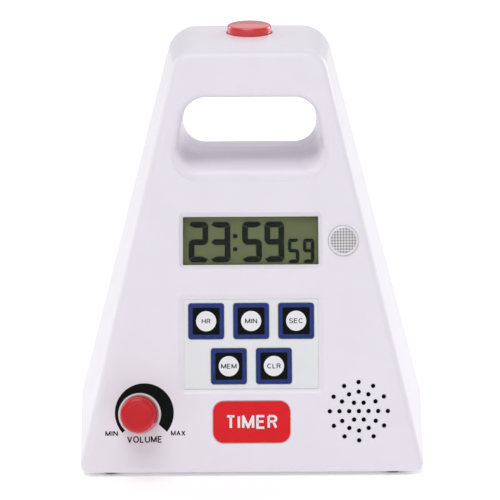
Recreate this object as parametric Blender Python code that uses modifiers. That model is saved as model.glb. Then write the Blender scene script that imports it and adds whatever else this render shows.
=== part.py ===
"""Bench lab timer with a carrying handle, as separate pieces.

Three empties carry the pieces. case_frame has its origin on the case's lower front edge, X to the
right, Y to the rear and Z up. face_frame leans back with the front face: its Z runs up the face and
its Y goes into the case, so a piece that stands proud of the face has a negative Y. top_frame lies
on the sloping top, with Y to the rear and Z out of the top. Lengths are in metres.
"""

import math

import bmesh
import bpy
from mathutils import Matrix, Vector

MM = 0.001
GAP = 0.3 * MM

# Case
BASE_HALF_WIDTH = 80.5 * MM
CASE_DEPTH = 115.8 * MM
FACE_TILT = math.radians(16.4)
SIDE_FLARE = 0.0895
SIDE_LEAN = 0.2676
TOP_FRONT_Y = 55.8 * MM
TOP_FRONT_Z = 189.8 * MM
TOP_SLOPE = math.radians(7.06)
FOOT_HEIGHT = 1.6 * MM
WALL = 2.8 * MM
FACE_EDGE_RADIUS = 3.2 * MM
REAR_EDGE_RADIUS = 2.4 * MM
TOP_CORNER_FRONT = 10.3 * MM
TOP_CORNER_REAR = 15.6 * MM
BASE_CORNER = 4.0 * MM
SEAM_Y = 112.0 * MM
CORNER_STEPS = 6
EDGE_STEPS = 3

# Handle opening: sizes at the face and at the rear, and half widths at its middle height
GRIP_HALF_WIDTH = (33.2 * MM, 33.4 * MM)
GRIP_SIDE_LEAN = 0.17
GRIP_LOW_Z = (136.6 * MM, 138.0 * MM)
GRIP_HIGH_Z = (169.0 * MM, 167.8 * MM)
GRIP_CORNER_LOW = (8.0 * MM, 11.2 * MM)
GRIP_CORNER_HIGH = 11.5 * MM
GRIP_LIP_LOW = 6.8 * MM
GRIP_LIP_HIGH = 4.7 * MM
GRIP_LIP_SIDE = 3.4 * MM
GRIP_LIP_CORNER = 5.0 * MM
GRIP_WALL = 2.3 * MM
GRIP_SEAM_Y = 95.0 * MM

# Places on the face: (across, up the slope)
DISPLAY_CENTRE = (0.0, 108.6 * MM)
DISPLAY_HALF = (31.75 * MM, 11.3 * MM)
DISPLAY_BEVEL = 1.6 * MM
LAMP_CENTRE = (43.4 * MM, 108.2 * MM)
LAMP_RADIUS = 7.0 * MM
KEYPAD_CENTRE = (0.0, 60.2 * MM)
KEYPAD_HALF = (31.6 * MM, 21.1 * MM)
KEYPAD_BEVEL = 1.5 * MM
KEYPAD_DEPTH = 1.6 * MM
KEY_PITCH = 21.0 * MM
KEY_HALF = 8.25 * MM
KEY_CORNER = 1.2 * MM
KEY_TOP_ROW = 70.9 * MM
KEY_TRAVEL = 0.35 * MM
KNOB_CENTRE = (-52.1 * MM, 27.9 * MM)
KNOB_RADIUS = 8.5 * MM
KNOB_REACH = 14.6 * MM
SPEAKER_CENTRE = (49.9 * MM, 28.7 * MM)
SPEAKER_RADIUS = 18.0 * MM
GRILLE_RINGS = ((0.0, 1), (4.5 * MM, 6), (9.0 * MM, 12), (13.5 * MM, 12))
GRILLE_HOLE_RADIUS = 1.05 * MM
PLATE_CENTRE = (0.0, 24.0 * MM)
PLATE_HALF = (17.9 * MM, 9.6 * MM)
PLATE_CORNER = 5.0 * MM

# Top button: distance up the sloping top from its front edge
BUTTON_PLACE = 42.9 * MM
BUTTON_RADIUS = 10.9 * MM
BUTTON_HEIGHT = 4.0 * MM

# Boards, by their depth behind the face or below the top
BOARD_DEPTH = 11.3 * MM
BOARD_THICKNESS = 1.6 * MM
BOARD_LOW = (-41.0 * MM, 86.0 * MM)
BOARD_HIGH = (49.0 * MM, 131.0 * MM)
BOARD_SCREWS = ((-38.5, 89.0), (38.5, 89.0), (-38.5, 128.2), (38.5, 128.2))
BUTTON_BOARD_DEPTH = 16.5 * MM

# Rear cover, batteries and screws
BAY_HALF_WIDTH = 33.0 * MM
BAY_LOW_Z = 18.0 * MM
BAY_HIGH_Z = 80.0 * MM
BAY_FRONT_Y = 96.3 * MM
DOOR_MARGIN = 2.7 * MM
CELL_RADIUS = 7.25 * MM
CELL_LENGTH = 50.5 * MM
CELL_PITCH = 15.1 * MM
CELL_Y = 104.6 * MM
CASE_SCREWS = (("lower", 71.0, 10.0, 4.5), ("middle", 53.0, 118.0, 96.0),
               ("upper", 26.0, 180.0, 54.4))
POST_RADIUS = 3.5 * MM
FOOT_PLACES = (("front", 66.0, 10.0), ("rear", 73.0, 100.0))
FOOT_RADIUS = 5.0 * MM

# The object's box runs from the knob's lower rim to the rear cover, and its centre is the origin.
KNOB_FRONT_Y = KNOB_CENTRE[1] * math.sin(FACE_TILT) - KNOB_REACH * math.cos(FACE_TILT)
LOWEST_FRONT_Y = KNOB_FRONT_Y - (KNOB_RADIUS - 1.0 * MM) * math.sin(FACE_TILT)
ORIGIN_Y = (LOWEST_FRONT_Y + CASE_DEPTH) / 2


# ------------------------------------------------------------------ scene and materials

for old in list(bpy.data.objects):
    bpy.data.objects.remove(old, do_unlink=True)

PARTS = bpy.data.collections.new("lab_timer")
CUTTERS = bpy.data.collections.new("lab_timer_cutters")
for collection in (PARTS, CUTTERS):
    bpy.context.scene.collection.children.link(collection)

FINISHES = {
    "white_abs": ((0.86, 0.85, 0.88, 1.0), 0.35, 0.0),
    "red_plastic": ((0.62, 0.03, 0.05, 1.0), 0.3, 0.0),
    "clear_plastic": ((0.85, 0.87, 0.88, 1.0), 0.08, 0.0),
    "display_glass": ((0.36, 0.40, 0.27, 1.0), 0.2, 0.0),
    "black_plastic": ((0.03, 0.03, 0.035, 1.0), 0.45, 0.0),
    "keypad_film": ((0.88, 0.88, 0.90, 1.0), 0.4, 0.0),
    "key_blue": ((0.05, 0.12, 0.45, 1.0), 0.4, 0.0),
    "polyester_film": ((0.75, 0.78, 0.72, 1.0), 0.35, 0.0),
    "conductive_rubber": ((0.20, 0.20, 0.21, 1.0), 0.7, 0.0),
    "circuit_board": ((0.05, 0.22, 0.10, 1.0), 0.4, 0.0),
    "steel": ((0.62, 0.62, 0.63, 1.0), 0.3, 1.0),
    "speaker_paper": ((0.06, 0.06, 0.06, 1.0), 0.85, 0.0),
    "rubber": ((0.05, 0.05, 0.05, 1.0), 0.8, 0.0),
    "cell_jacket": ((0.10, 0.11, 0.12, 1.0), 0.3, 0.0),
    "red_insulation": ((0.55, 0.04, 0.04, 1.0), 0.5, 0.0),
    "black_insulation": ((0.04, 0.04, 0.04, 1.0), 0.5, 0.0),
}


def make_material(name, colour, roughness, metallic):
    material = bpy.data.materials.new(name)
    material.use_nodes = True
    shader = material.node_tree.nodes["Principled BSDF"]
    shader.inputs["Base Color"].default_value = colour
    shader.inputs["Roughness"].default_value = roughness
    shader.inputs["Metallic"].default_value = metallic
    return material


MATERIALS = {name: make_material(name, *finish) for name, finish in FINISHES.items()}


def make_empty(name, parent=None, location=(0, 0, 0), lean=0.0):
    empty = bpy.data.objects.new(name, None)
    empty.empty_display_size = 0.02
    empty.parent = parent
    empty.location = location
    empty.rotation_euler = (lean, 0, 0)
    PARTS.objects.link(empty)
    return empty


case_frame = make_empty("case_frame", location=(0, -ORIGIN_Y, FOOT_HEIGHT))
face_frame = make_empty("face_frame", case_frame, lean=-FACE_TILT)
top_frame = make_empty("top_frame", case_frame, (0, TOP_FRONT_Y, TOP_FRONT_Z), TOP_SLOPE)


# ------------------------------------------------------------------ shape helpers


def add_mesh(name, mesh, finish, parent, location=(0, 0, 0), rotation=(0, 0, 0)):
    """Links a mesh as a part, or as a cutter when finish is None."""
    piece = bpy.data.objects.new(name, mesh)
    piece.parent = parent
    piece.location = location
    piece.rotation_euler = rotation
    if finish is None:
        piece.hide_render = True
        piece.display_type = "WIRE"
        CUTTERS.objects.link(piece)
    else:
        mesh.materials.append(MATERIALS[finish])
        PARTS.objects.link(piece)
    return piece


def finish_bmesh(name, bm):
    bmesh.ops.recalc_face_normals(bm, faces=bm.faces)
    mesh = bpy.data.meshes.new(name)
    bm.to_mesh(mesh)
    bm.free()
    mesh.shade_smooth()
    mesh.set_sharp_from_angle(angle=math.radians(35))
    return mesh


def block(name, finish, parent, centre, size, bevel=0.0):
    bm = bmesh.new()
    bmesh.ops.create_cube(bm, size=1.0, matrix=Matrix.Diagonal((*size, 1.0)))
    piece = add_mesh(name, finish_bmesh(name, bm), finish, parent, centre)
    if bevel:
        rounding = piece.modifiers.new("rounded edges", "BEVEL")
        rounding.width = bevel
        rounding.segments = 2
    return piece


def rod(name, finish, parent, centre, radius, length, axis="Z", segments=24):
    """A cylinder whose axis runs along X, Y or Z of its parent."""
    bm = bmesh.new()
    bmesh.ops.create_cone(
        bm, cap_ends=True, segments=segments, radius1=radius, radius2=radius, depth=length
    )
    turn = {"X": (0, math.pi / 2, 0), "Y": (math.pi / 2, 0, 0), "Z": (0, 0, 0)}[axis]
    return add_mesh(name, finish_bmesh(name, bm), finish, parent, centre, turn)


def turned(name, finish, parent, centre, profile, along=(0, 0, 0), steps=32):
    """A turned piece: profile is (radius, height) from top to bottom down its outer side."""
    bm = bmesh.new()
    points = [bm.verts.new((radius, 0, height)) for radius, height in profile]
    ring = profile[0][0] > 0
    for start, end in zip(points, points[1:] + points[:1] if ring else points[1:]):
        bm.edges.new((start, end))
    mesh = bpy.data.meshes.new(name)
    bm.to_mesh(mesh)
    bm.free()
    piece = add_mesh(name, mesh, finish, parent, centre, along)
    screw = piece.modifiers.new("turned", "SCREW")
    screw.steps = screw.render_steps = steps
    screw.use_merge_vertices = True
    screw.merge_threshold = 0.00001
    screw.use_smooth_shade = True
    return piece


def loft(name, finish, parent, rings):
    """Skins rings of equal point counts and closes both ends."""
    bm = bmesh.new()
    rows = [[bm.verts.new(point) for point in ring] for ring in rings]
    for near, far in zip(rows, rows[1:]):
        for i in range(len(near)):
            j = (i + 1) % len(near)
            bm.faces.new((near[i], near[j], far[j], far[i]))
    bm.faces.new(rows[0])
    bm.faces.new(rows[-1])
    return add_mesh(name, finish_bmesh(name, bm), finish, parent)


def rounded(corners, radii, steps=CORNER_STEPS):
    """Points round a convex outline whose corners are arcs of the given radii."""
    points = []
    for i, corner in enumerate(corners):
        before = (Vector(corners[i - 1]) - Vector(corner)).normalized()
        after = (Vector(corners[(i + 1) % len(corners)]) - Vector(corner)).normalized()
        half = before.angle(after) / 2
        centre = Vector(corner) + (before + after).normalized() * radii[i] / math.sin(half)
        start = -before.orthogonal() if before.orthogonal().dot(after) > 0 else before.orthogonal()
        end = -after.orthogonal() if after.orthogonal().dot(before) > 0 else after.orthogonal()
        sweep = start.angle_signed(end)
        for step in range(steps + 1):
            turn = Matrix.Rotation(-sweep * step / steps, 2)
            points.append(centre + turn @ start.normalized() * radii[i])
    return points


def rectangle(centre, half, corner, steps=3):
    x, z = centre
    w, h = half
    corners = [(x - w, z - h), (x + w, z - h), (x + w, z + h), (x - w, z + h)]
    return rounded(corners, [corner] * 4, steps)


def slab(name, finish, parent, centre, half, corner, depths, spread=0.0):
    """A rounded plate between two depths behind the face, its front edge wider by spread."""
    rings = []
    for depth, extra in ((depths[0], spread), (depths[1], 0.0)):
        wide = (half[0] + extra, half[1] + extra)
        rings.append([(p.x, depth, p.y) for p in rectangle(centre, wide, corner + extra)])
    return loft(name, finish, parent, rings)


def tube(name, finish, parent, route, radius, smooth=4):
    """A round wire along a smooth curve through the route's points."""
    points = [Vector(p) for p in route]
    ends = [points[0] * 2 - points[1]] + points + [points[-1] * 2 - points[-2]]
    path = []
    for a, b, c, d in zip(ends, ends[1:], ends[2:], ends[3:]):
        for step in range(smooth):
            t = step / smooth
            path.append(
                0.5 * (2 * b + (c - a) * t + (2 * a - 5 * b + 4 * c - d) * t**2
                       + (3 * b - a - 3 * c + d) * t**3)
            )
    path.append(points[-1])
    curve = bpy.data.curves.new(name, "CURVE")
    curve.dimensions = "3D"
    curve.bevel_depth = radius
    curve.bevel_resolution = 0
    curve.use_fill_caps = True
    spline = curve.splines.new("POLY")
    spline.points.add(len(path) - 1)
    for point, place in zip(spline.points, path):
        point.co = (*place, 1.0)
    curve.materials.append(MATERIALS[finish])
    piece = bpy.data.objects.new(name, curve)
    piece.parent = parent
    PARTS.objects.link(piece)
    return piece


def ribbon(name, finish, parent, path, thickness, widths, lay):
    """A bent strip: path is its edge line, and lay turns (u, v, across) into a place."""
    rings = []
    for i, point in enumerate(path):
        before = Vector(path[max(i - 1, 0)])
        after = Vector(path[min(i + 1, len(path) - 1)])
        side = (after - before).orthogonal().normalized() * thickness / 2
        corners = [Vector(point) + side, Vector(point) - side]
        ring = [lay(c.x, c.y, widths[0]) for c in corners]
        rings.append(ring + [lay(c.x, c.y, widths[1]) for c in reversed(corners)])
    return loft(name, finish, parent, rings)


def boolean(target, tool, operation):
    step = target.modifiers.new(f"{operation.lower()} {tool.name}", "BOOLEAN")
    step.operation = operation
    step.object = tool
    step.solver = "EXACT"


def cut(target, *tools):
    for tool in tools:
        boolean(target, tool, "DIFFERENCE")


def join(target, *tools):
    for tool in tools:
        boolean(target, tool, "UNION")


def on_face(place, depth=0.0):
    return (place[0], depth, place[1])


def sides():
    return (("left", -1), ("right", 1))


# ------------------------------------------------------------------ case outline


def case_ring(offset, tilt, inset, corner):
    """The case's outline where the plane y = offset + tilt * z cuts it, moved in by inset."""
    stretch = math.hypot(1.0, tilt)
    half_at_base = BASE_HALF_WIDTH + SIDE_FLARE * offset
    lean = (SIDE_LEAN - SIDE_FLARE * tilt) / stretch
    rise = math.tan(TOP_SLOPE)
    top = (TOP_FRONT_Z + (offset - TOP_FRONT_Y) * rise) / (1 - tilt * rise) * stretch - inset
    narrow = inset * math.hypot(1.0, lean)
    low_half = half_at_base - lean * inset - narrow
    high_half = half_at_base - lean * top - narrow
    corners = [(-low_half, inset), (low_half, inset), (high_half, top), (-high_half, top)]
    base = max(BASE_CORNER - inset, 0.6 * MM)
    radii = [base, base, corner - inset, corner - inset]
    points = []
    for p in rounded(corners, radii):
        z = p.y / stretch
        points.append((p.x, offset + tilt * z, z))
    return points


def edge_rings(radius, steps):
    """(inset, depth) pairs that round an edge, from the flat face to the side."""
    for step in range(steps + 1):
        angle = math.pi / 2 * step / steps
        yield radius * (1 - math.sin(angle)), radius * (1 - math.cos(angle))


def corner_at(y):
    return TOP_CORNER_FRONT + (TOP_CORNER_REAR - TOP_CORNER_FRONT) * y / CASE_DEPTH


def between(ends, share):
    return ends[0] + (ends[1] - ends[0]) * share


def grip_ring(offset, tilt, lip=0.0, deepen=0.0, wall=0.0):
    """The handle opening's outline in a plane, grown by a share of its lip and by a wall.

    deepen moves each point back by a share of the lip there.
    """
    middle = (GRIP_LOW_Z[0] + GRIP_HIGH_Z[0]) / 2
    t = (offset + tilt * middle) / CASE_DEPTH
    side = (lip * GRIP_LIP_SIDE + wall) * math.hypot(1.0, GRIP_SIDE_LEAN)
    half = between(GRIP_HALF_WIDTH, t) + side
    low = between(GRIP_LOW_Z, t) - lip * GRIP_LIP_LOW * math.cos(FACE_TILT) - wall
    high = between(GRIP_HIGH_Z, t) + lip * GRIP_LIP_HIGH * math.cos(FACE_TILT) + wall
    low_half = half + GRIP_SIDE_LEAN * (middle - low)
    high_half = half - GRIP_SIDE_LEAN * (high - middle)
    grow = lip * GRIP_LIP_CORNER + wall
    low_radius = between(GRIP_CORNER_LOW, t) + grow
    high_radius = GRIP_CORNER_HIGH + grow
    corners = [(-low_half, low), (low_half, low), (high_half, high), (-high_half, high)]
    outline = rounded(corners, [low_radius, low_radius, high_radius, high_radius], 7)
    points = []
    for i, p in enumerate(outline):
        along = outline[(i + 1) % len(outline)] - outline[i - 1]
        level = along.x**2 / along.length_squared
        end = GRIP_LIP_LOW if p.y < middle else GRIP_LIP_HIGH
        back = deepen * (end * level + GRIP_LIP_SIDE * (1 - level))
        points.append((p.x, offset + tilt * p.y + back, p.y))
    return points


# ------------------------------------------------------------------ front shell

FACE_LEAN = math.tan(FACE_TILT)


def make_front_shell():
    rings = [
        case_ring(depth, FACE_LEAN, inset, TOP_CORNER_FRONT)
        for inset, depth in edge_rings(FACE_EDGE_RADIUS, EDGE_STEPS)
    ]
    rings.append(case_ring(SEAM_Y, 0.0, 0.0, corner_at(SEAM_Y)))
    shell = loft("front_shell", "white_abs", case_frame, rings)

    hollow_front = WALL / math.cos(FACE_TILT)
    hollow = loft("hollow", None, case_frame, [
        case_ring(hollow_front, FACE_LEAN, WALL, TOP_CORNER_FRONT),
        case_ring(SEAM_Y + 2 * MM, 0.0, WALL, corner_at(SEAM_Y)),
    ])
    cut(shell, hollow)

    tunnel = loft("grip_tunnel", None, case_frame, [
        grip_ring(WALL / 2, FACE_LEAN, wall=GRIP_WALL),
        grip_ring(GRIP_SEAM_Y, 0.0, wall=GRIP_WALL),
    ])
    join(shell, tunnel)
    for level, x, z, start in CASE_SCREWS:
        for side, sign in sides():
            length = SEAM_Y - 0.6 * MM - start * MM
            place = (sign * x * MM, start * MM + length / 2, z * MM)
            post = rod(f"post_{level}_{side}", None, case_frame, place, POST_RADIUS, length, "Y", 16)
            join(shell, post)
    for i, (x, s) in enumerate(BOARD_SCREWS):
        length = BOARD_DEPTH - GAP - WALL / 2
        place = (x * MM, WALL / 2 + length / 2, s * MM)
        join(shell, rod(f"board_post_{i + 1}", None, face_frame, place, 2.8 * MM, length, "Y", 12))
    for side, sign in sides():
        length = BUTTON_BOARD_DEPTH - GAP - WALL / 2
        place = (sign * 16.5 * MM, BUTTON_PLACE, -WALL / 2 - length / 2)
        join(shell, rod(f"button_post_{side}", None, top_frame, place, 2.4 * MM, length, "Z", 12))

    cut_front_openings(shell)
    return shell


def cut_front_openings(shell):
    mouth = [grip_ring(-3 * MM, FACE_LEAN, 1.0)]
    for step in range(6):
        angle = math.pi / 2 * step / 5
        mouth.append(grip_ring(0.0, FACE_LEAN, 1 - math.sin(angle), 1 - math.cos(angle)))
    mouth.append(grip_ring(GRIP_SEAM_Y + 2 * MM, 0.0))
    cut(shell, loft("grip_hole", None, case_frame, mouth))

    reach = 1.0 * MM
    depth = 1.8 * MM
    flare = DISPLAY_BEVEL * (depth + reach) / depth
    cut(shell, slab("display_bevel", None, face_frame, DISPLAY_CENTRE, DISPLAY_HALF, 0.4 * MM,
                    (-reach, depth), flare))
    cut(shell, slab("display_hole", None, face_frame, DISPLAY_CENTRE, DISPLAY_HALF, 0.4 * MM,
                    (1.2 * MM, 5 * MM)))
    flare = KEYPAD_BEVEL * (KEYPAD_DEPTH + reach) / KEYPAD_DEPTH
    cut(shell, slab("keypad_recess", None, face_frame, KEYPAD_CENTRE, KEYPAD_HALF, 0.8 * MM,
                    (-reach, KEYPAD_DEPTH), flare))
    cut(shell, slab("tail_slot", None, face_frame, (0, 77.4 * MM), (6.2 * MM, 1.7 * MM), 0.5 * MM,
                    (1.0 * MM, 5 * MM)))
    cut(shell, slab("plate_recess", None, face_frame, PLATE_CENTRE,
                    (PLATE_HALF[0] + GAP, PLATE_HALF[1] + GAP), PLATE_CORNER + GAP,
                    (-reach, 0.5 * MM)))
    cut(shell, rod("lamp_hole", None, face_frame, on_face(LAMP_CENTRE), LAMP_RADIUS + GAP,
                   12 * MM, "Y", 32))
    cut(shell, rod("pot_hole", None, face_frame, on_face(KNOB_CENTRE), 3.9 * MM, 12 * MM, "Y"))
    cut(shell, grille_holes())
    cut(shell, rod("button_hole", None, top_frame, (0, BUTTON_PLACE, 0), BUTTON_RADIUS + 0.35 * MM,
                   12 * MM, "Z", 40))
    for level, x, z, _ in CASE_SCREWS:
        for side, sign in sides():
            place = (sign * x * MM, SEAM_Y - 5 * MM, z * MM)
            cut(shell, rod(f"pilot_{level}_{side}", None, case_frame, place, 1.55 * MM, 14 * MM,
                           "Y", 10))
    for i, (x, s) in enumerate(BOARD_SCREWS):
        place = (x * MM, BOARD_DEPTH - 2 * MM, s * MM)
        cut(shell, rod(f"board_pilot_{i + 1}", None, face_frame, place, 1.2 * MM, 7 * MM, "Y", 8))
    for end, x, y in FOOT_PLACES:
        for side, sign in sides():
            place = (sign * x * MM, y * MM, -0.2 * MM)
            cut(shell, rod(f"foot_seat_{end}_{side}", None, case_frame, place,
                           FOOT_RADIUS + 0.4 * MM, 2 * MM, "Z", 20))


def grille_holes():
    bm = bmesh.new()
    upright = Matrix.Rotation(math.pi / 2, 4, "X")
    for radius, count in GRILLE_RINGS:
        for i in range(count):
            angle = 2 * math.pi * i / count
            place = Matrix.Translation((radius * math.cos(angle), 0, radius * math.sin(angle)))
            bmesh.ops.create_cone(
                bm, cap_ends=True, segments=8, radius1=GRILLE_HOLE_RADIUS,
                radius2=GRILLE_HOLE_RADIUS, depth=8 * MM, matrix=place @ upright
            )
    mesh = finish_bmesh("grille_holes", bm)
    return add_mesh("grille_holes", mesh, None, face_frame, on_face(SPEAKER_CENTRE))


# ------------------------------------------------------------------ rear cover and batteries


def make_rear_cover():
    rings = [case_ring(SEAM_Y + GAP, 0.0, 0.0, corner_at(SEAM_Y))]
    for inset, depth in reversed(list(edge_rings(REAR_EDGE_RADIUS, EDGE_STEPS))):
        rings.append(case_ring(CASE_DEPTH - depth, 0.0, inset, TOP_CORNER_REAR))
    cover = loft("rear_cover", "white_abs", case_frame, rings)

    lip_inset = WALL + 0.5 * MM
    lip = loft("locating_lip", None, case_frame, [
        case_ring(SEAM_Y - 3 * MM, 0.0, lip_inset, corner_at(SEAM_Y)),
        case_ring(SEAM_Y + 1 * MM, 0.0, lip_inset, corner_at(SEAM_Y)),
    ])
    lip_hollow = loft("lip_hollow", None, case_frame, [
        case_ring(SEAM_Y - 4 * MM, 0.0, lip_inset + 1.6 * MM, corner_at(SEAM_Y)),
        case_ring(SEAM_Y + 0.8 * MM, 0.0, lip_inset + 1.6 * MM, corner_at(SEAM_Y)),
    ])
    cut(lip, lip_hollow)
    for level, x, z, _ in CASE_SCREWS:
        for side, sign in sides():
            place = (sign * x * MM, SEAM_Y - 2 * MM, z * MM)
            cut(lip, rod(f"lip_gap_{level}_{side}", None, case_frame, place, POST_RADIUS + 0.5 * MM,
                         4.6 * MM, "Y", 16))
    button_room = (0, SEAM_Y - 2.4 * MM, TOP_FRONT_Z)
    cut(lip, block("lip_gap_button", None, case_frame, button_room, (32 * MM, 5 * MM, 24 * MM)))
    join(cover, lip)

    collar = loft("grip_collar", None, case_frame, [
        grip_ring(GRIP_SEAM_Y + GAP, 0.0, wall=GRIP_WALL),
        grip_ring(SEAM_Y + 1 * MM, 0.0, wall=GRIP_WALL),
    ])
    join(cover, collar)
    cut(cover, loft("collar_hole", None, case_frame, [
        grip_ring(GRIP_SEAM_Y - 1 * MM, 0.0),
        grip_ring(CASE_DEPTH + 1 * MM, 0.0),
    ]))

    bay_z = (BAY_LOW_Z + BAY_HIGH_Z) / 2
    bay_height = BAY_HIGH_Z - BAY_LOW_Z
    walls = 2 * MM
    bay_depth = SEAM_Y + 1 * MM - BAY_FRONT_Y + walls
    bay = block("bay_walls", None, case_frame,
                (0, BAY_FRONT_Y - walls + bay_depth / 2, bay_z),
                (2 * (BAY_HALF_WIDTH + walls), bay_depth, bay_height + 2 * walls))
    join(cover, bay)
    cut(cover, block("bay_hollow", None, case_frame, (0, BAY_FRONT_Y + 15 * MM, bay_z),
                     (2 * BAY_HALF_WIDTH, 30 * MM, bay_height)))
    seat = 2.5 * MM
    cut(cover, block("door_seat", None, case_frame, (0, CASE_DEPTH - seat + 5 * MM, bay_z),
                     (2 * (BAY_HALF_WIDTH + DOOR_MARGIN + GAP), 10 * MM,
                      bay_height + 2 * (DOOR_MARGIN + GAP))))
    for level, x, z, _ in CASE_SCREWS:
        for side, sign in sides():
            place = (sign * x * MM, CASE_DEPTH, z * MM)
            cut(cover, rod(f"well_{level}_{side}", None, case_frame, place, 3.4 * MM, 3.6 * MM,
                           "Y", 20))
            cut(cover, rod(f"clearance_{level}_{side}", None, case_frame, place, 1.8 * MM, 16 * MM,
                           "Y", 12))


def make_battery_door():
    """The door's origin is on its hinge line, along its lower outer edge."""
    thickness = 2.1 * MM
    height = BAY_HIGH_Z - BAY_LOW_Z + 2 * DOOR_MARGIN
    half = BAY_HALF_WIDTH + DOOR_MARGIN
    outline = rectangle((0, height / 2), (half, height / 2), 1.5 * MM)
    door = loft("battery_door", "white_abs", case_frame,
                [[(p.x, y, p.y) for p in outline] for y in (-thickness, 0.0)])
    door.location = (0, CASE_DEPTH, BAY_LOW_Z - DOOR_MARGIN)
    place = (0, CASE_DEPTH + 1.2 * MM, BAY_HIGH_Z - 6 * MM)
    notch = rod("thumb_notch", None, case_frame, place, 2.4 * MM, 18 * MM, "X", 20)
    cut(door, notch)


def make_cells():
    nub = 1.2 * MM
    body = CELL_LENGTH - nub
    profile = [(0, CELL_LENGTH), (2.6 * MM, CELL_LENGTH), (2.6 * MM, body), (6.6 * MM, body),
               (CELL_RADIUS, body - 0.6 * MM), (CELL_RADIUS, 0.6 * MM), (6.6 * MM, 0), (0, 0)]
    middle = (BAY_LOW_Z + BAY_HIGH_Z) / 2
    for i in range(4):
        x = (i - 1.5) * CELL_PITCH
        flip = i % 2
        foot = middle + (CELL_LENGTH / 2 if flip else -CELL_LENGTH / 2)
        turned(f"battery_cell_{i + 1}", "cell_jacket", case_frame, (x, CELL_Y, foot), profile,
               (math.pi * flip, 0, 0), 14)


def make_contacts():
    """Each strip bows towards the four cells it presses on."""
    cell_end = (BAY_HIGH_Z - BAY_LOW_Z - CELL_LENGTH) / 2
    rest = 0.9 * MM
    bow = cell_end - 0.6 * MM
    for name, base, sign in (("lower", BAY_LOW_Z, 1), ("upper", BAY_HIGH_Z, -1)):
        path = []
        for i in range(4):
            x = (i - 1.5) * CELL_PITCH
            for across, rise in ((-6.2, rest), (-3.0, bow), (3.0, bow), (6.2, rest)):
                path.append((x + across * MM, base + sign * rise))
        ribbon(f"battery_contact_{name}", "steel", case_frame, path, 0.5 * MM,
               (CELL_Y - 4 * MM, CELL_Y + 4 * MM), lambda u, v, across: (u, across, v))


# ------------------------------------------------------------------ display, lamp and boards


def make_display():
    slab("lcd_window", "clear_plastic", face_frame, DISPLAY_CENTRE, (34.5 * MM, 14.0 * MM), 1 * MM,
         (WALL + GAP, WALL + GAP + 1.0 * MM))
    glass_front = WALL + 2 * GAP + 1.0 * MM
    glass = (34.3 * MM, 13.8 * MM)
    slab("lcd_panel", "display_glass", face_frame, DISPLAY_CENTRE, glass, 0.5 * MM,
         (glass_front, glass_front + 2.4 * MM))
    frame_end = BOARD_DEPTH - GAP
    frame = slab("lcd_frame", "black_plastic", face_frame, DISPLAY_CENTRE,
                 (glass[0] + 1.8 * MM, glass[1] + 1.8 * MM), 1 * MM, (glass_front, frame_end))
    cut(frame, slab("frame_hole", None, face_frame, DISPLAY_CENTRE,
                    (glass[0] + GAP, glass[1] + GAP), 0.6 * MM,
                    (glass_front - 1 * MM, frame_end + 1 * MM)))
    strip_front = glass_front + 2.4 * MM + GAP
    strip_length = BOARD_DEPTH - GAP - strip_front
    place = (0, strip_front + strip_length / 2, DISPLAY_CENTRE[1] - 12.2 * MM)
    block("lcd_connector", "conductive_rubber", face_frame, place,
          (62 * MM, strip_length, 2.0 * MM), 0.3 * MM)


def make_lamp():
    facing = (math.pi / 2, 0, 0)
    back = -(WALL + GAP + 1.0 * MM)
    flange = -(WALL + GAP)
    bore = 5.4 * MM
    dome = 1.9 * MM
    profile = [(0, dome)]
    for step in range(1, 6):
        angle = math.pi / 2 * step / 5
        profile.append((LAMP_RADIUS * math.sin(angle), dome * math.cos(angle) + 0.2 * MM))
    profile += [(LAMP_RADIUS, flange), (8.4 * MM, flange), (8.4 * MM, back), (bore, back),
                (bore, -1.0 * MM), (0, -0.6 * MM)]
    turned("alarm_lamp_lens", "clear_plastic", face_frame, on_face(LAMP_CENTRE), profile, facing, 20)
    base = -(BOARD_DEPTH - GAP)
    tip = -3.4 * MM
    led = [(0, tip), (1.3 * MM, tip - 0.4 * MM), (2.2 * MM, tip - 1.3 * MM),
           (2.5 * MM, tip - 2.5 * MM), (2.5 * MM, base + 1.0 * MM), (2.9 * MM, base + 1.0 * MM),
           (2.9 * MM, base), (0, base)]
    turned("alarm_lamp_led", "red_plastic", face_frame, on_face(LAMP_CENTRE), led, facing, 12)


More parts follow.
